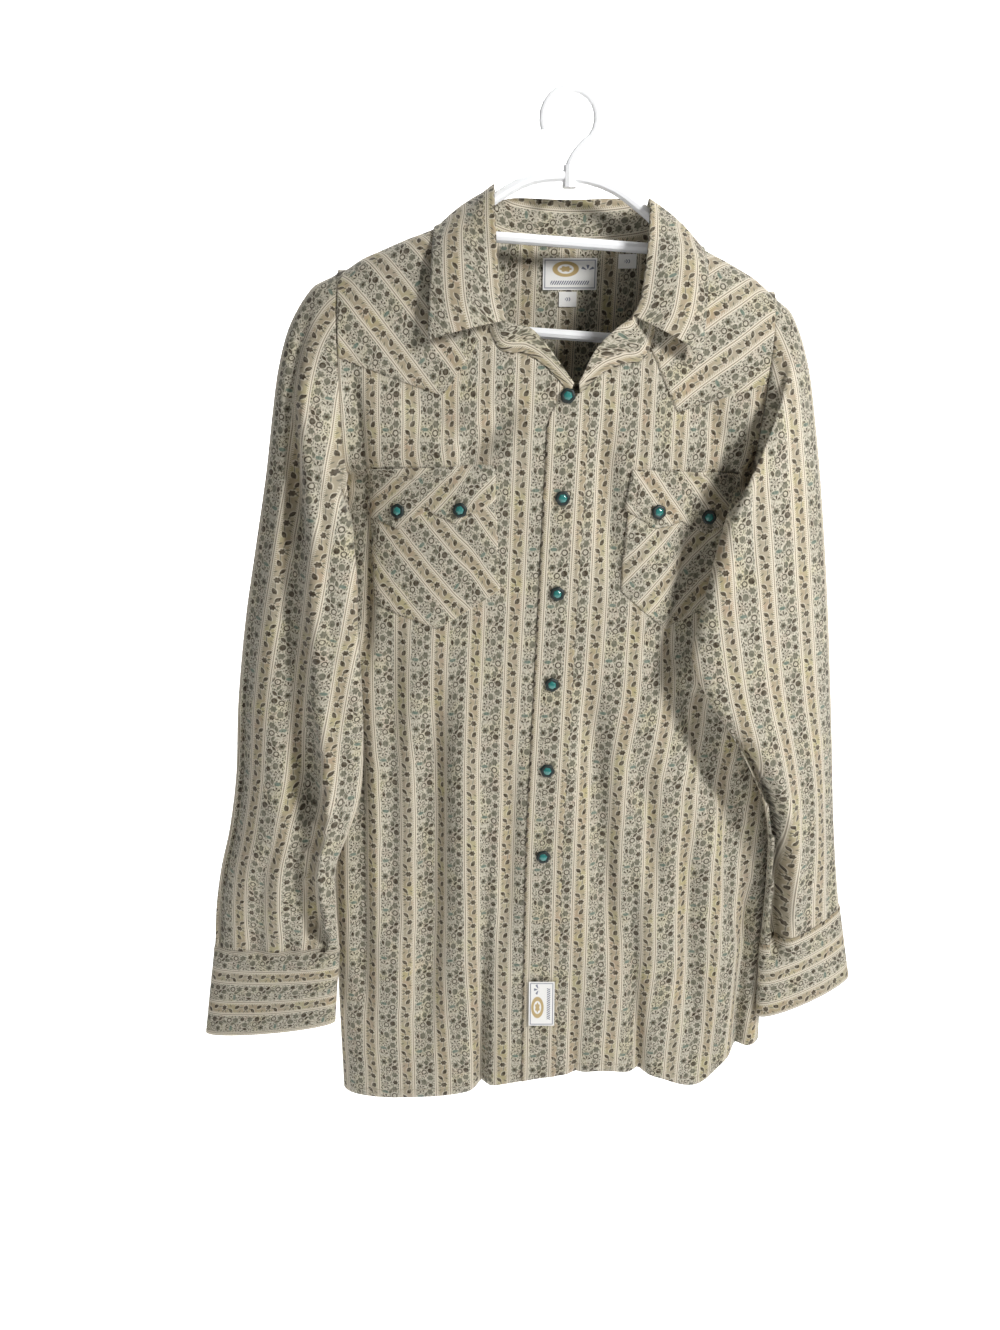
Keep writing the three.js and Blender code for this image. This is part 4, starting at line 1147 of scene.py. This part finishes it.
@dataclass
class Cloth:
    """The print, and how a cloth piece is finished and its flat cut logged."""

    material: bpy.types.Material
    wall: float = 0.7

    def finish(self, name: str, nodes: Iterable[str], bm: BMesh, rests_on: Sequence[str]) -> None:
        """Args:
            name: the piece's name.
            nodes: the CAD nodes that it stands for.
            bm: the sheet.
            rests_on: what it hangs from or lies on; not used.
        """
        size, area = Form.flat_cut(bm)
        piece = piece_of(name + "_cloth", bm, self.material)
        give_wall(piece, self.wall)
        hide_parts(*nodes)
        LOG.info("%s: cut %.3f by %.3f m, %.4f square metres", name, *size, area)


@dataclass
class Torso:
    """The fronts, back, yokes, pockets, flaps and placket."""

    cloth: Cloth
    columns: int = 120
    row_step: float = 4.5
    length: float = 820
    layer: float = 0.9
    chest_row: int = 30
    corner_share: float = 0.88
    corner_drop: float = 4.2
    corner_reach: float = 26

    def sheet(self, panel: Panel) -> BMesh:
        """Return a panel's whole flat sheet in the XZ plane, in millimetres, with its places in the cloth."""
        even = np.linspace(-1, 1, self.columns + 1)
        shares = 0.5 * np.sin(even * math.pi / 2) + 0.5 * even
        over = RIDGE_RADIUS * np.linspace(0, 1, 9) ** 2
        below = np.arange(RIDGE_RADIUS + self.row_step, self.length, self.row_step)
        drops = np.concatenate([over, below, [self.length]]) / self.length
        share, fraction = np.meshgrid(shares, drops)
        top, bottom = np.full_like(share, TOP_GUESS), np.full_like(share, HEM_GUESS)
        for _ in range(5):
            top = ridge_z(x_at(share, top))
            bottom = panel.hem.follow("x", "z", x_at(share, bottom))
        z = top + (bottom - top) * fraction
        x = x_at(share, z)
        points = panel.raised(x, z, CLOTH_FACE)
        across = runs(points, 1)
        across -= across[:, [self.columns // 2]]
        down = runs(points, 0)
        chest = len(over) + self.chest_row
        along = -(down - down[[chest]] - z[[chest]] * MM)
        flat = np.stack([x, np.zeros_like(x), z], axis=-1)
        return Form.grid(flat, np.stack([across, along], axis=-1))

    def lift(self, bm: BMesh, panel: Panel, height: float) -> None:
        """Lift a flat cut sheet onto a panel, so far above its inner face."""
        flat = np.array([vert.co for vert in bm.verts])
        lifted = panel.raised(flat[:, 0], flat[:, 2], height)
        outer = smoothstep(self.corner_share, 1, np.abs(share_at(flat[:, 0], flat[:, 2])))
        upper = 1 - smoothstep(0, self.corner_reach, ridge_z(flat[:, 0]) - flat[:, 2])
        lifted[:, 2] -= self.corner_drop * MM * outer * upper
        for vert, point in zip(bm.verts, lifted):
            vert.co = point
        bm.normal_update()
        outward = sum(face.normal.y * face.calc_area() for face in bm.faces)
        if outward * panel.sign < 0:
            bmesh.ops.reverse_faces(bm, faces=bm.faces)

    def beside_snaps(self, offset: float, reach: float) -> list[tuple[float, float]]:
        """Return the outline of either front, from so far beside the snap line."""
        line = [(float(CENTRE.follow("z", "x", z)) + offset, z) for z in LINE_HEIGHTS]
        return [*line, (reach, -1000), (reach, -150)]

    def placket_band(self) -> list[tuple[float, float]]:
        """Return the outline of the placket's band."""
        heights = [*PLACKET_TOPS, *[z for z in LINE_HEIGHTS if z < -280]]
        along = [(float(CENTRE.follow("z", "x", z)), z) for z in heights]
        narrow = [14 * float(smoothstep(0, 1, (z + 275) / 37)) for z in heights]
        edge = [(x - PLACKET_HALF + cut, z) for (x, z), cut in zip(along, narrow)]
        return [*edge, *[(x + PLACKET_HALF + 2, z) for x, z in reversed(along)]]

    def build(self) -> None:
        """Build every piece of the torso."""
        front_hole, back_hole = neck_hole(FRONT), neck_hole(BACK)
        right, left = self.beside_snaps(PLACKET_HALF, -300), self.beside_snaps(PLACKET_HALF, 300)
        cuts = (
            ("front_right", FRONT, right, 0, 0, (0, 0)),
            ("front_left", FRONT, left, 0, 0, (0, 0)),
            ("placket", FRONT, self.placket_band(), 1, 0, (19, 0)),
            ("yoke_front_right", FRONT, YOKE_RIGHT, 1, 42, (0, 0)),
            ("yoke_front_left", FRONT, YOKE_LEFT, 1, -55, (0, 0)),
            ("pocket_right", FRONT, POCKET_RIGHT, 1, 45, (0, 0)),
            ("pocket_left", FRONT, POCKET_LEFT, 1, -48, (0, 0)),
            ("flap_right", FRONT, FLAP_RIGHT, 2, -45, (0, 0)),
            ("flap_left", FRONT, FLAP_LEFT, 2, 42, (0, 0)),
            ("back", BACK, None, 0, 0, (0, 0)),
            ("yoke_back", BACK, BACK_YOKE, 1, 90, (0, 0)),
        )
        for name, panel, outline, layer, grain, shift in cuts:
            bm = self.sheet(panel)
            if outline:
                Form.cut(bm, outline)
            Form.cut(bm, front_hole if panel is FRONT else back_hole, keep_inside=False)
            Form.turn_cloth(bm, grain, shift)
            self.lift(bm, panel, CLOTH_FACE + layer * self.layer)
            self.cloth.finish(name, [name], bm, ["hanger"])


def neck_hole(panel: Panel) -> list[tuple[float, float]]:
    """Return the outline of the neck's hole in a panel, along the collar's seam."""
    rim = lambda low, high: [
        (float(COLLAR.at_row("seamX", p)), float(COLLAR.at_row("seamZ", p)))
        for p in np.linspace(low, high, int((high - low) * 4) + 1)
    ]
    if panel is FRONT:
        corners = [*reversed(rim(0, SHOULDER_RIGHT)), *reversed(rim(SHOULDER_LEFT, len(COLLAR.rows) - 1))]
    else:
        corners = rim(SHOULDER_RIGHT, SHOULDER_LEFT)
    return [(corners[0][0], 0), *corners, (corners[-1][0], 0)]


@dataclass
class Sleeve:
    """One sleeve and its cuff."""

    cloth: Cloth
    form: SleeveForm
    sides: int = 72
    rows: int = 130
    head_rows: tuple[float, float] = (6.0, 10.0)
    edge_radius: float = 18

    def tube(self, start: float, end: float, rows: int, height: float) -> tuple[Array, Array]:
        """Measure a tube, closed by a last column that lies on the first.

        Args:
            start: the first row, by the sleeve's table.
            end: the last row.
            rows: how many steps lie between them.
            height: how far outside the inner face, in millimetres.

        Returns:
            The points in millimetres, and their places in the cloth in metres.
        """
        angles = np.linspace(math.pi, -math.pi, self.sides + 1)
        places = np.linspace(start, end, rows + 1)
        row, angle = np.meshgrid(places, np.mod(angles, 2 * math.pi), indexing="ij")
        points = self.form.points(row, angle, height)
        smooth = replace(self.form, folds=()).points(row, angle, height)
        around = self.girth(smooth)
        inward, length = self.from_fold(smooth)
        head = 1 - smoothstep(self.head_rows[0], self.head_rows[1], row)
        if start > self.head_rows[1]:
            length = np.repeat(length[:, [self.sides // 2]], self.sides + 1, axis=1)
        around += head * (np.where(angle <= math.pi, -inward, inward) - around)
        return points, np.stack([around, -length], axis=-1) * MM

    def girth(self, points: Array) -> Array:
        """Return how far round each ring its points lie, from its outer edge."""
        around = runs(points, 1)
        return around - around[:, [self.sides // 2]]

    def from_fold(self, points: Array) -> tuple[Array, Array]:
        """Measure each point from the sleeve's outer fold, where the cloth's grain runs.

        Args:
            points: places in millimetres.

        Returns:
            How far in over the cloth from the fold, and how far down along it.
        """
        rows = np.linspace(0, len(self.form.rows.rows) - 1, 90)
        fold = np.stack([self.form.rows.at_row("outX", rows), self.form.rows.at_row("outZ", rows)], axis=-1)
        start, step = fold[:-1], np.diff(fold, axis=0)
        long = np.linalg.norm(step, axis=-1)
        before = np.concatenate([[0], np.cumsum(long)[:-1]])
        seen = points[..., None, [0, 2]] - start
        share = np.clip((seen * step).sum(-1) / long**2, 0, 1)
        away = np.linalg.norm(seen - share[..., None] * step, axis=-1)
        nearest = away.argmin(axis=-1)[..., None]
        distance = np.take_along_axis(away, nearest, -1)[..., 0]
        down = np.take_along_axis(before + share * long, nearest, -1)[..., 0]
        turn = np.arccos(1 - np.minimum(distance / self.edge_radius, 1))
        return self.edge_radius * turn + np.maximum(distance - self.edge_radius, 0), down

    def closed(self, points: Array, cloth: Array) -> BMesh:
        """Return the tube as a mesh in metres, sewn along its seam, with its faces outwards."""
        bm = Form.grid(points * MM, cloth)
        bmesh.ops.remove_doubles(bm, verts=bm.verts, dist=0.02 * MM)
        bm.normal_update()
        middle = points.mean(axis=(0, 1)) * MM
        outward = sum(face.normal.dot(face.calc_center_median() - Vector(middle)) for face in bm.faces)
        if outward < 0:
            bmesh.ops.reverse_faces(bm, faces=bm.faces)
        return bm

    def build(self) -> None:
        """Build the sleeve and the cuff."""
        name = self.form.name
        points, cloth = self.tube(-TUCK.rows, CUFF_ROW + 0.05, self.rows, CLOTH_FACE)
        nodes = ["sleeve_" + name, "forearm_" + name]
        self.cloth.finish("sleeve_" + name, nodes, self.closed(points, cloth), ["hanger"])
        points, cloth = self.tube(CUFF_ROW - 0.02, len(self.form.rows.rows) - 1, 24, CLOTH_FACE + 0.8)
        cuff = self.closed(points, cloth)
        Form.turn_cloth(cuff, 90)
        self.cloth.finish("cuff_" + name, ["cuff_" + name], cuff, ["sleeve_" + name])


@dataclass
class Collar:
    """The stand and the turned-down leaf."""

    cloth: Cloth
    places: int = 240

    def seam(self, place: Array) -> Array:
        """Return the points of the neck's seam."""
        x, z = COLLAR.at_row("seamX", place), COLLAR.at_row("seamZ", place)
        behind = (place > SHOULDER_RIGHT) & (place < SHOULDER_LEFT)
        y = np.where(behind, BACK.depth(x, z), FRONT.depth(x, z) - CLOTH_FACE)
        return np.stack([x, y, z], axis=-1)

    def stand(self, place: Array, across: Array) -> Array:
        """Return the points of the stand, from the seam up to the roll line."""
        seam, roll = self.seam(place), COLLAR.point("roll", place)
        return seam + (roll - seam) * across[..., None]

    def leaf(self, place: Array, across: Array) -> Array:
        """Return the points of the leaf, from the roll line down to its edge."""
        rows = Table("rollX rollY rollZ edgeX edgeY edgeZ", *COLLAR.rows[LEAF_FIRST : LEAF_LAST + 1, 2:])
        at = place - LEAF_FIRST
        roll, edge = rows.point("roll", at), rows.point("edge", at)
        point = roll + (edge - roll) * across[..., None]
        out = np.stack([point[..., 0] * 0.15, point[..., 1], np.full_like(at, 6.0)], axis=-1)
        out /= np.linalg.norm(out, axis=-1, keepdims=True)
        point = point + out * (LEAF_ARCH * np.sin(math.pi * across))[..., None]
        return self.clear(point)

    @staticmethod
    def clear(point: Array) -> Array:
        """Move the points out until they lie clear of the shoulder, front and back."""
        x = point[..., 0]
        ridge = ridge_z(x)
        lower = np.minimum(point[..., 2], ridge - LEAF_MIDDLE_DROP)
        middle = np.stack([x, np.zeros_like(x), lower], axis=-1)
        ray = point - middle
        distance = np.linalg.norm(ray, axis=-1)
        ray /= distance[..., None]
        near, far = np.zeros_like(x), np.full_like(x, 2.0 * LEAF_MIDDLE_DROP)
        for _ in range(20):
            tried = (near + far) / 2
            spot = middle + ray * tried[..., None]
            y, z = spot[..., 1], spot[..., 2]
            within = (z < ridge) & (y > FRONT.depth(x, z)) & (y < BACK.depth(x, z))
            near, far = np.where(within, tried, near), np.where(within, far, tried)
        least = np.maximum(distance, far + LEAF_CLEARANCE)
        return middle + ray * least[..., None]

    def sheet(
        self, surface: Callable[[Array, Array], Array], low: float, high: float, count: int, rows: int
    ) -> tuple[Array, Array]:
        """Return a sheet's points in millimetres and its places in the cloth, in metres."""
        shares, places = np.linspace(0, 1, rows + 1), np.linspace(low, high, count + 1)
        across, place = np.meshgrid(shares, places, indexing="ij")
        points = surface(place, across)
        along = runs(points, 1)
        along -= along[:, [count // 2]]
        return points, np.stack([along, -runs(points, 0)], axis=-1) * MM

    def build(self) -> None:
        """Build the stand and the leaf."""
        points, cloth = self.sheet(self.stand, 0, len(COLLAR.rows) - 1, self.places, 10)
        stand = Form.grid(points * MM, cloth)
        Form.turn_cloth(stand, 90)
        self.cloth.finish("collar_stand", ["collar_stand"], stand, ["hanger"])
        points, cloth = self.sheet(self.leaf, LEAF_FIRST, LEAF_LAST, self.places, 24)
        leaf = Form.grid(points * MM, cloth)
        bmesh.ops.reverse_faces(leaf, faces=leaf.faces)
        Form.turn_cloth(leaf, 90, (0, 9))
        self.cloth.finish("collar_leaf", ["collar_leaf"], leaf, ["collar_stand"])


@dataclass(frozen=True)
class SnapFinish:
    """A snap's dark prong ring and its turquoise cap."""

    ring: Moulding = Moulding("prong_ring", (0.004, 0.011, 0.01), (0.01, 0.02, 0.018), 0.5, 400)
    cap: Moulding = Moulding("turquoise_cap", (0.018, 0.15, 0.135), (0.035, 0.22, 0.2), 0.14, 220, 0.8)


@dataclass
class Snaps:
    """The pearl snaps: a ring of six prongs folded over a domed cap."""

    finish: SnapFinish = field(default_factory=SnapFinish)
    prongs: int = 6
    lobes: float = 0.09
    steps: int = 36
    cuff_rows: tuple[float, float] = (14.1, 14.8)
    cuff_angle: float = 300
    cuff_foot: float = 2.6
    flap_foot: float = 2.2
    front_foot: float = 1.4
    ring_profile: tuple[tuple[float, float], ...] = (
        (6.6, 0.0), (6.9, 0.9), (6.7, 1.9), (6.0, 2.6), (4.9, 2.9), (3.9, 2.6),
    )
    cap_profile: tuple[tuple[float, float], ...] = (
        (4.1, 1.8), (3.8, 2.6), (3.2, 3.2), (2.2, 3.6), (1.1, 3.8), (0.02, 3.9),
    )

    def turned(self, bm: BMesh, profile: Sequence[tuple[float, float]]) -> None:
        """Spin a profile of radius and height, in millimetres, round +Z into a mesh in metres."""
        line = [bm.verts.new((radius * MM, 0, height * MM)) for radius, height in profile]
        edges = [bm.edges.new(pair) for pair in zip(line, line[1:])]
        bmesh.ops.spin(
            bm, geom=[*line, *edges], axis=(0, 0, 1), cent=(0, 0, 0), steps=self.steps, angle=2 * math.pi,
            use_merge=True,
        )

    def put(self, name: str, place: Vector, normal: Vector, turn: float) -> None:
        """Put one snap on the cloth.

        Args:
            name: the CAD node it stands for.
            place: the middle of its foot, in metres.
            normal: the way it faces.
            turn: how far it is turned, in degrees.
        """
        seat = normal.to_track_quat("Z", "Y").to_matrix().to_4x4()
        seat = Matrix.Translation(place) @ seat @ Matrix.Rotation(math.radians(turn), 4, "Z")
        joined = bmesh.new()
        self.turned(joined, self.ring_profile)
        ring = len(joined.faces)
        self.turned(joined, self.cap_profile)
        joined.faces.ensure_lookup_table()
        for face in joined.faces[ring:]:
            face.material_index = 1
        for vert in joined.verts:
            angle = math.atan2(vert.co.y, vert.co.x) * self.prongs
            share = 1 - self.lobes * (0.5 + 0.5 * math.cos(angle))
            vert.co.x *= share
            vert.co.y *= share
        bmesh.ops.remove_doubles(joined, verts=joined.verts, dist=0.01 * MM)
        bmesh.ops.recalc_face_normals(joined, faces=joined.faces)
        joined.transform(seat)
        piece = piece_of(name + "_dressed", joined, self.materials[0])
        piece.data.materials.append(self.materials[1])
        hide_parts(name)

    def build(self) -> None:
        """Put every snap where the frame has its node."""
        self.materials = (self.finish.ring.material(), self.finish.cap.material())
        names = [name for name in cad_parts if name.startswith("snap_")]
        for index, name in enumerate(sorted(names)):
            low, high = (Vector(corner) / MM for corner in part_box(name))
            middle = (low + high) / 2
            place, normal = self.seat(name, middle)
            self.put(name, Vector(place) * MM, Vector(normal), 17 * index)
            LOG.info("%s: at %.0f, %.0f, %.0f mm", name, *place)

    def seat(self, name: str, middle: Vector) -> tuple[Array, Array]:
        """Return the foot of a snap on the cloth in millimetres, and the way it faces."""
        if "cuff" in name:
            form = SLEEVES[0] if "right" in name else SLEEVES[1]
            row = np.array([self.cuff_rows[0 if name.endswith("1") else 1]])
            angle = np.array([math.radians(self.cuff_angle)])
            low, high = (form.points(row, angle, self.cuff_foot + up)[0] for up in (0, 1))
        else:
            height = CLOTH_FACE + (self.flap_foot if "flap" in name else self.front_foot)
            x, z = np.array([middle.x]), np.array([middle.z])
            low, high = (FRONT.raised(x, z, height + up)[0] / MM for up in (0, 1))
        return low, (high - low) / np.linalg.norm(high - low)


@dataclass(frozen=True)
class Thread:
    """The sewing thread, paler than the cloth."""

    finish: Moulding = Moulding("cream_thread", (0.5, 0.44, 0.33), (0.4, 0.34, 0.25), 0.75, 900)
    stitch: float = 2.3
    pitch: float = 3.1
    width: float = 0.42
    rise: float = 0.28


@dataclass
class Stitching:
    """The rows of stitches along the seams and edges, each stitch a small bar on the cloth."""

    thread: Thread = field(default_factory=Thread)

    def sewn(self, line: Array, above: Array) -> BMesh:
        """Sew along a line.

        Args:
            line: points on the cloth, in metres.
            above: the same points a little higher.

        Returns:
            The stitches' mesh.
        """
        bm = bmesh.new()
        steps = np.linalg.norm(np.diff(line, axis=0), axis=-1) / MM
        length = np.concatenate([[0], np.cumsum(steps)])
        for start in np.arange(0.5, length[-1] - self.thread.stitch, self.thread.pitch):
            ends = [self.between(length, line, at) for at in (start, start + self.thread.stitch)]
            high = self.between(length, above, start + self.thread.stitch / 2)
            middle = (ends[0] + ends[1]) / 2
            x_axis = (ends[1] - ends[0]).normalized()
            z_axis = (high - middle).normalized()
            y_axis = z_axis.cross(x_axis).normalized()
            z_axis = x_axis.cross(y_axis)
            turn = Matrix((x_axis, y_axis, z_axis)).transposed().to_4x4()
            size = (self.thread.stitch * MM, self.thread.width * MM, self.thread.rise * MM, 1)
            bmesh.ops.create_cube(bm, size=1, matrix=Matrix.Translation(middle) @ turn @ Matrix.Diagonal(size))
        return bm

    @staticmethod
    def between(length: Array, line: Array, at: float) -> Vector:
        """Return the point at a length along a line."""
        return Vector([float(np.interp(at, length, line[:, axis])) for axis in range(3)])

    def on_panel(self, panel: Panel, corners: Outline, height: float) -> BMesh:
        """Sew along a line of corners on a panel, so far above its inner face."""
        flat = self.dense(np.array(corners, float))
        line = panel.raised(flat[:, 0], flat[:, 1], height)
        return self.sewn(line, panel.raised(flat[:, 0], flat[:, 1], height + 1))

    def on_sleeve(self, form: SleeveForm, row: float, height: float) -> BMesh:
        """Sew round a sleeve at a row."""
        angle = np.linspace(0, 2 * math.pi, 145)
        rows = np.full_like(angle, row)
        line = form.points(rows, angle, height) * MM
        return self.sewn(line, form.points(rows, angle, height + 1) * MM)

    @staticmethod
    def dense(corners: Array) -> Array:
        """Return points every few millimetres along a line of corners."""
        parts = []
        for start, end in zip(corners, corners[1:]):
            count = max(int(np.linalg.norm(end - start) / 3), 1)
            parts.append(start + (end - start) * np.linspace(0, 1, count, endpoint=False)[:, None])
        return np.concatenate([*parts, corners[-1:]])

    @staticmethod
    def inset(outline: Outline, by: float) -> list[tuple[float, float]]:
        """Return a closed outline moved inwards, with its first corner again at its end."""
        points = [Vector((x, z)) for x, z in outline]
        area = sum(a.x * b.y - b.x * a.y for a, b in zip(points, points[1:] + points[:1]))
        side = 1 if area > 0 else -1
        moved = []
        for before, point, after in zip(points[-1:] + points[:-1], points, points[1:] + points[:1]):
            first, second = (point - before).normalized(), (after - point).normalized()
            first, second = Vector((-first.y, first.x)), Vector((-second.y, second.x))
            way = (first + second).normalized()
            moved.append(tuple(point + way * (side * by / max(way.dot(first), 0.3))))
        return [*moved, moved[0]]

    def build(self) -> None:
        """Sew every row."""
        material = self.thread.finish.material()
        face = CLOTH_FACE + 0.1
        sewn: dict[str, list[BMesh]] = {}
        for name, outline, by in (
            ("pocket_right", POCKET_RIGHT, (1.6,)),
            ("pocket_left", POCKET_LEFT, (1.6,)),
            ("flap_right", FLAP_RIGHT, (1.6, 6.4)),
            ("flap_left", FLAP_LEFT, (1.6, 6.4)),
        ):
            height = face + (1.4 if "flap" in name else 0.7)
            sewn[name] = [self.on_panel(FRONT, self.inset(outline, inset), height) for inset in by]
        for name, outline in (("yoke_front_right", YOKE_RIGHT[1:5]), ("yoke_front_left", YOKE_LEFT[1:5])):
            raised = [[(x * 0.985, z + by) for x, z in outline] for by in (1.8, 7)]
            sewn[name] = [self.on_panel(FRONT, line, face + 0.7) for line in raised]
        back = [[(x * 0.98, z + by) for x, z in BACK_YOKE[2:7]] for by in (1.8, 7)]
        ended = [[(-195, line[0][1]), *line[1:-1], (170, line[-1][1])] for line in back]
        sewn["yoke_back"] = [self.on_panel(BACK, line, face + 0.7) for line in ended]
        heights = [z for z in LINE_HEIGHTS if -925 < z < -280]
        for name, offset in (("placket", -PLACKET_HALF + 2), ("placket_far", PLACKET_HALF - 1)):
            line = [(float(CENTRE.follow("z", "x", z)) + offset, z) for z in [-262, *heights, -925]]
            sewn[name] = [self.on_panel(FRONT, line, face + 0.7)]
        for name, panel in (("hem_front", FRONT), ("hem_back", BACK)):
            xs = np.linspace(-212, 198, 60)
            line = [(x, float(panel.hem.follow("x", "z", x)) + 9) for x in xs]
            sewn[name] = [self.on_panel(panel, line, face)]
        for form in SLEEVES:
            edges = (CUFF_ROW + 0.05, len(form.rows.rows) - 1.06)
            sewn["cuff_" + form.name] = [self.on_sleeve(form, row, face + 0.9) for row in edges]
        for name, meshes in sewn.items():
            joined = bmesh.new()
            for part in meshes:
                held = bpy.data.meshes.new("held")
                part.to_mesh(held)
                part.free()
                joined.from_mesh(held)
                bpy.data.meshes.remove(held)
            piece = piece_of("stitches_" + name, joined, material)
            LOG.info("stitches on %s: %d faces", name, len(piece.data.polygons))


@dataclass
class Studio:
    """The camera, the lights and the pale sweep behind the shirt."""

    camera_place: Triple = (-0.060, -0.978, -0.241)
    pitch: float = 75
    lens: float = 28.15
    sensor: float = 36
    sweep: Triple = (0.9, 0.9, 0.9)
    floor_z: float = -1.35

    def build(self) -> None:
        """Set them all up."""
        data = bpy.data.cameras.new("camera")
        data.lens = self.lens
        data.sensor_width = self.sensor
        data.sensor_fit = "AUTO"
        camera = bpy.data.objects.new("camera", data)
        camera.location = self.camera_place
        camera.rotation_euler = (math.radians(self.pitch), 0, 0)
        bpy.context.scene.collection.objects.link(camera)
        bpy.context.scene.camera = camera
        self.backdrop()
        self.light("key", (1.15, -1.25, 0.45), (0.38, 0.38), 37)
        self.light("fill", (-0.2, -1.9, 0.5), (1.4, 1.4), 1.5)
        self.light("top", (0.3, -0.2, 1.2), (1.0, 0.6), 3)
        self.light("wall", (0.0, 1.0, 1.2), (2.4, 0.8), 60, aim=(0, 2.3, -0.6))
        world = bpy.data.worlds.new("room")
        world.use_nodes = True
        world.node_tree.nodes["Background"].inputs[0].default_value = (1, 1, 1, 1)
        world.node_tree.nodes["Background"].inputs[1].default_value = 0.045
        bpy.context.scene.world = world
        bpy.context.scene.view_settings.view_transform = "Standard"

    def light(
        self,
        name: str,
        place: Triple,
        size: tuple[float, float],
        power: float,
        aim: Triple = (-0.03, 0, -0.5),
    ) -> None:
        """Add one soft area light aimed at a point."""
        data = bpy.data.lights.new(name, "AREA")
        data.shape = "RECTANGLE"
        data.size, data.size_y = size
        data.energy = power
        lamp = bpy.data.objects.new(name, data)
        lamp.location = place
        way = Vector(aim) - Vector(place)
        lamp.rotation_euler = way.to_track_quat("-Z", "Y").to_euler()
        bpy.context.scene.collection.objects.link(lamp)

    def backdrop(self) -> None:
        """Add the floor that turns up into a wall."""
        bm = bmesh.new()
        bmesh.ops.create_grid(bm, x_segments=1, y_segments=40, size=1)
        bend_y, radius, reach = 1.5, 0.9, 5.0
        for vert in bm.verts:
            t = (vert.co.y + 1) / 2
            side = vert.co.x * 6
            if t < 0.4:
                vert.co = (side, -4 + (bend_y + 4) * t / 0.4, self.floor_z)
            elif t < 0.7:
                turn = (t - 0.4) / 0.3 * math.pi / 2
                rise = radius * (1 - math.cos(turn))
                vert.co = (side, bend_y + radius * math.sin(turn), self.floor_z + rise)
            else:
                vert.co = (side, bend_y + radius, self.floor_z + radius + reach * (t - 0.7) / 0.3)
        mesh = bpy.data.meshes.new("backdrop")
        bm.to_mesh(mesh)
        bm.free()
        mesh.polygons.foreach_set("use_smooth", [True] * len(mesh.polygons))
        paper, tree = new_material("backdrop_paper")
        glow = {"Emission Color": (1, 1, 1, 1), "Emission Strength": 0.6}
        fill(tree, tree.nodes["Principled BSDF"], {"Base Color": (*self.sweep, 1), "Roughness": 0.9, **glow})
        mesh.materials.append(paper)
        piece = bpy.data.objects.new("backdrop", mesh)
        bpy.context.scene.collection.objects.link(piece)


def main() -> None:
    """Build the shirt piece by piece, then the studio round it."""
    logging.basicConfig(level=logging.INFO, format="%(name)s %(message)s")
    Studio().build()
    print_cloth = Print().material("printed_cotton")
    cloth = Cloth(print_cloth)
    Torso(cloth).build()
    for form in SLEEVES:
        Sleeve(cloth, form).build()
    Collar(cloth).build()
    Stitching().build()
    Snaps().build()
    plastic = Moulding("hanger_plastic", (0.95, 0.95, 0.96), (0.93, 0.94, 0.95), 0.3, 40, 0.3).material()
    for name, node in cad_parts.items():
        if name == "hanger":
            node.material_slots[0].material = plastic
        if name in LABELS:
            node.material_slots[0].material = LABELS[name].material()


if __name__ == "__main__":
    main()
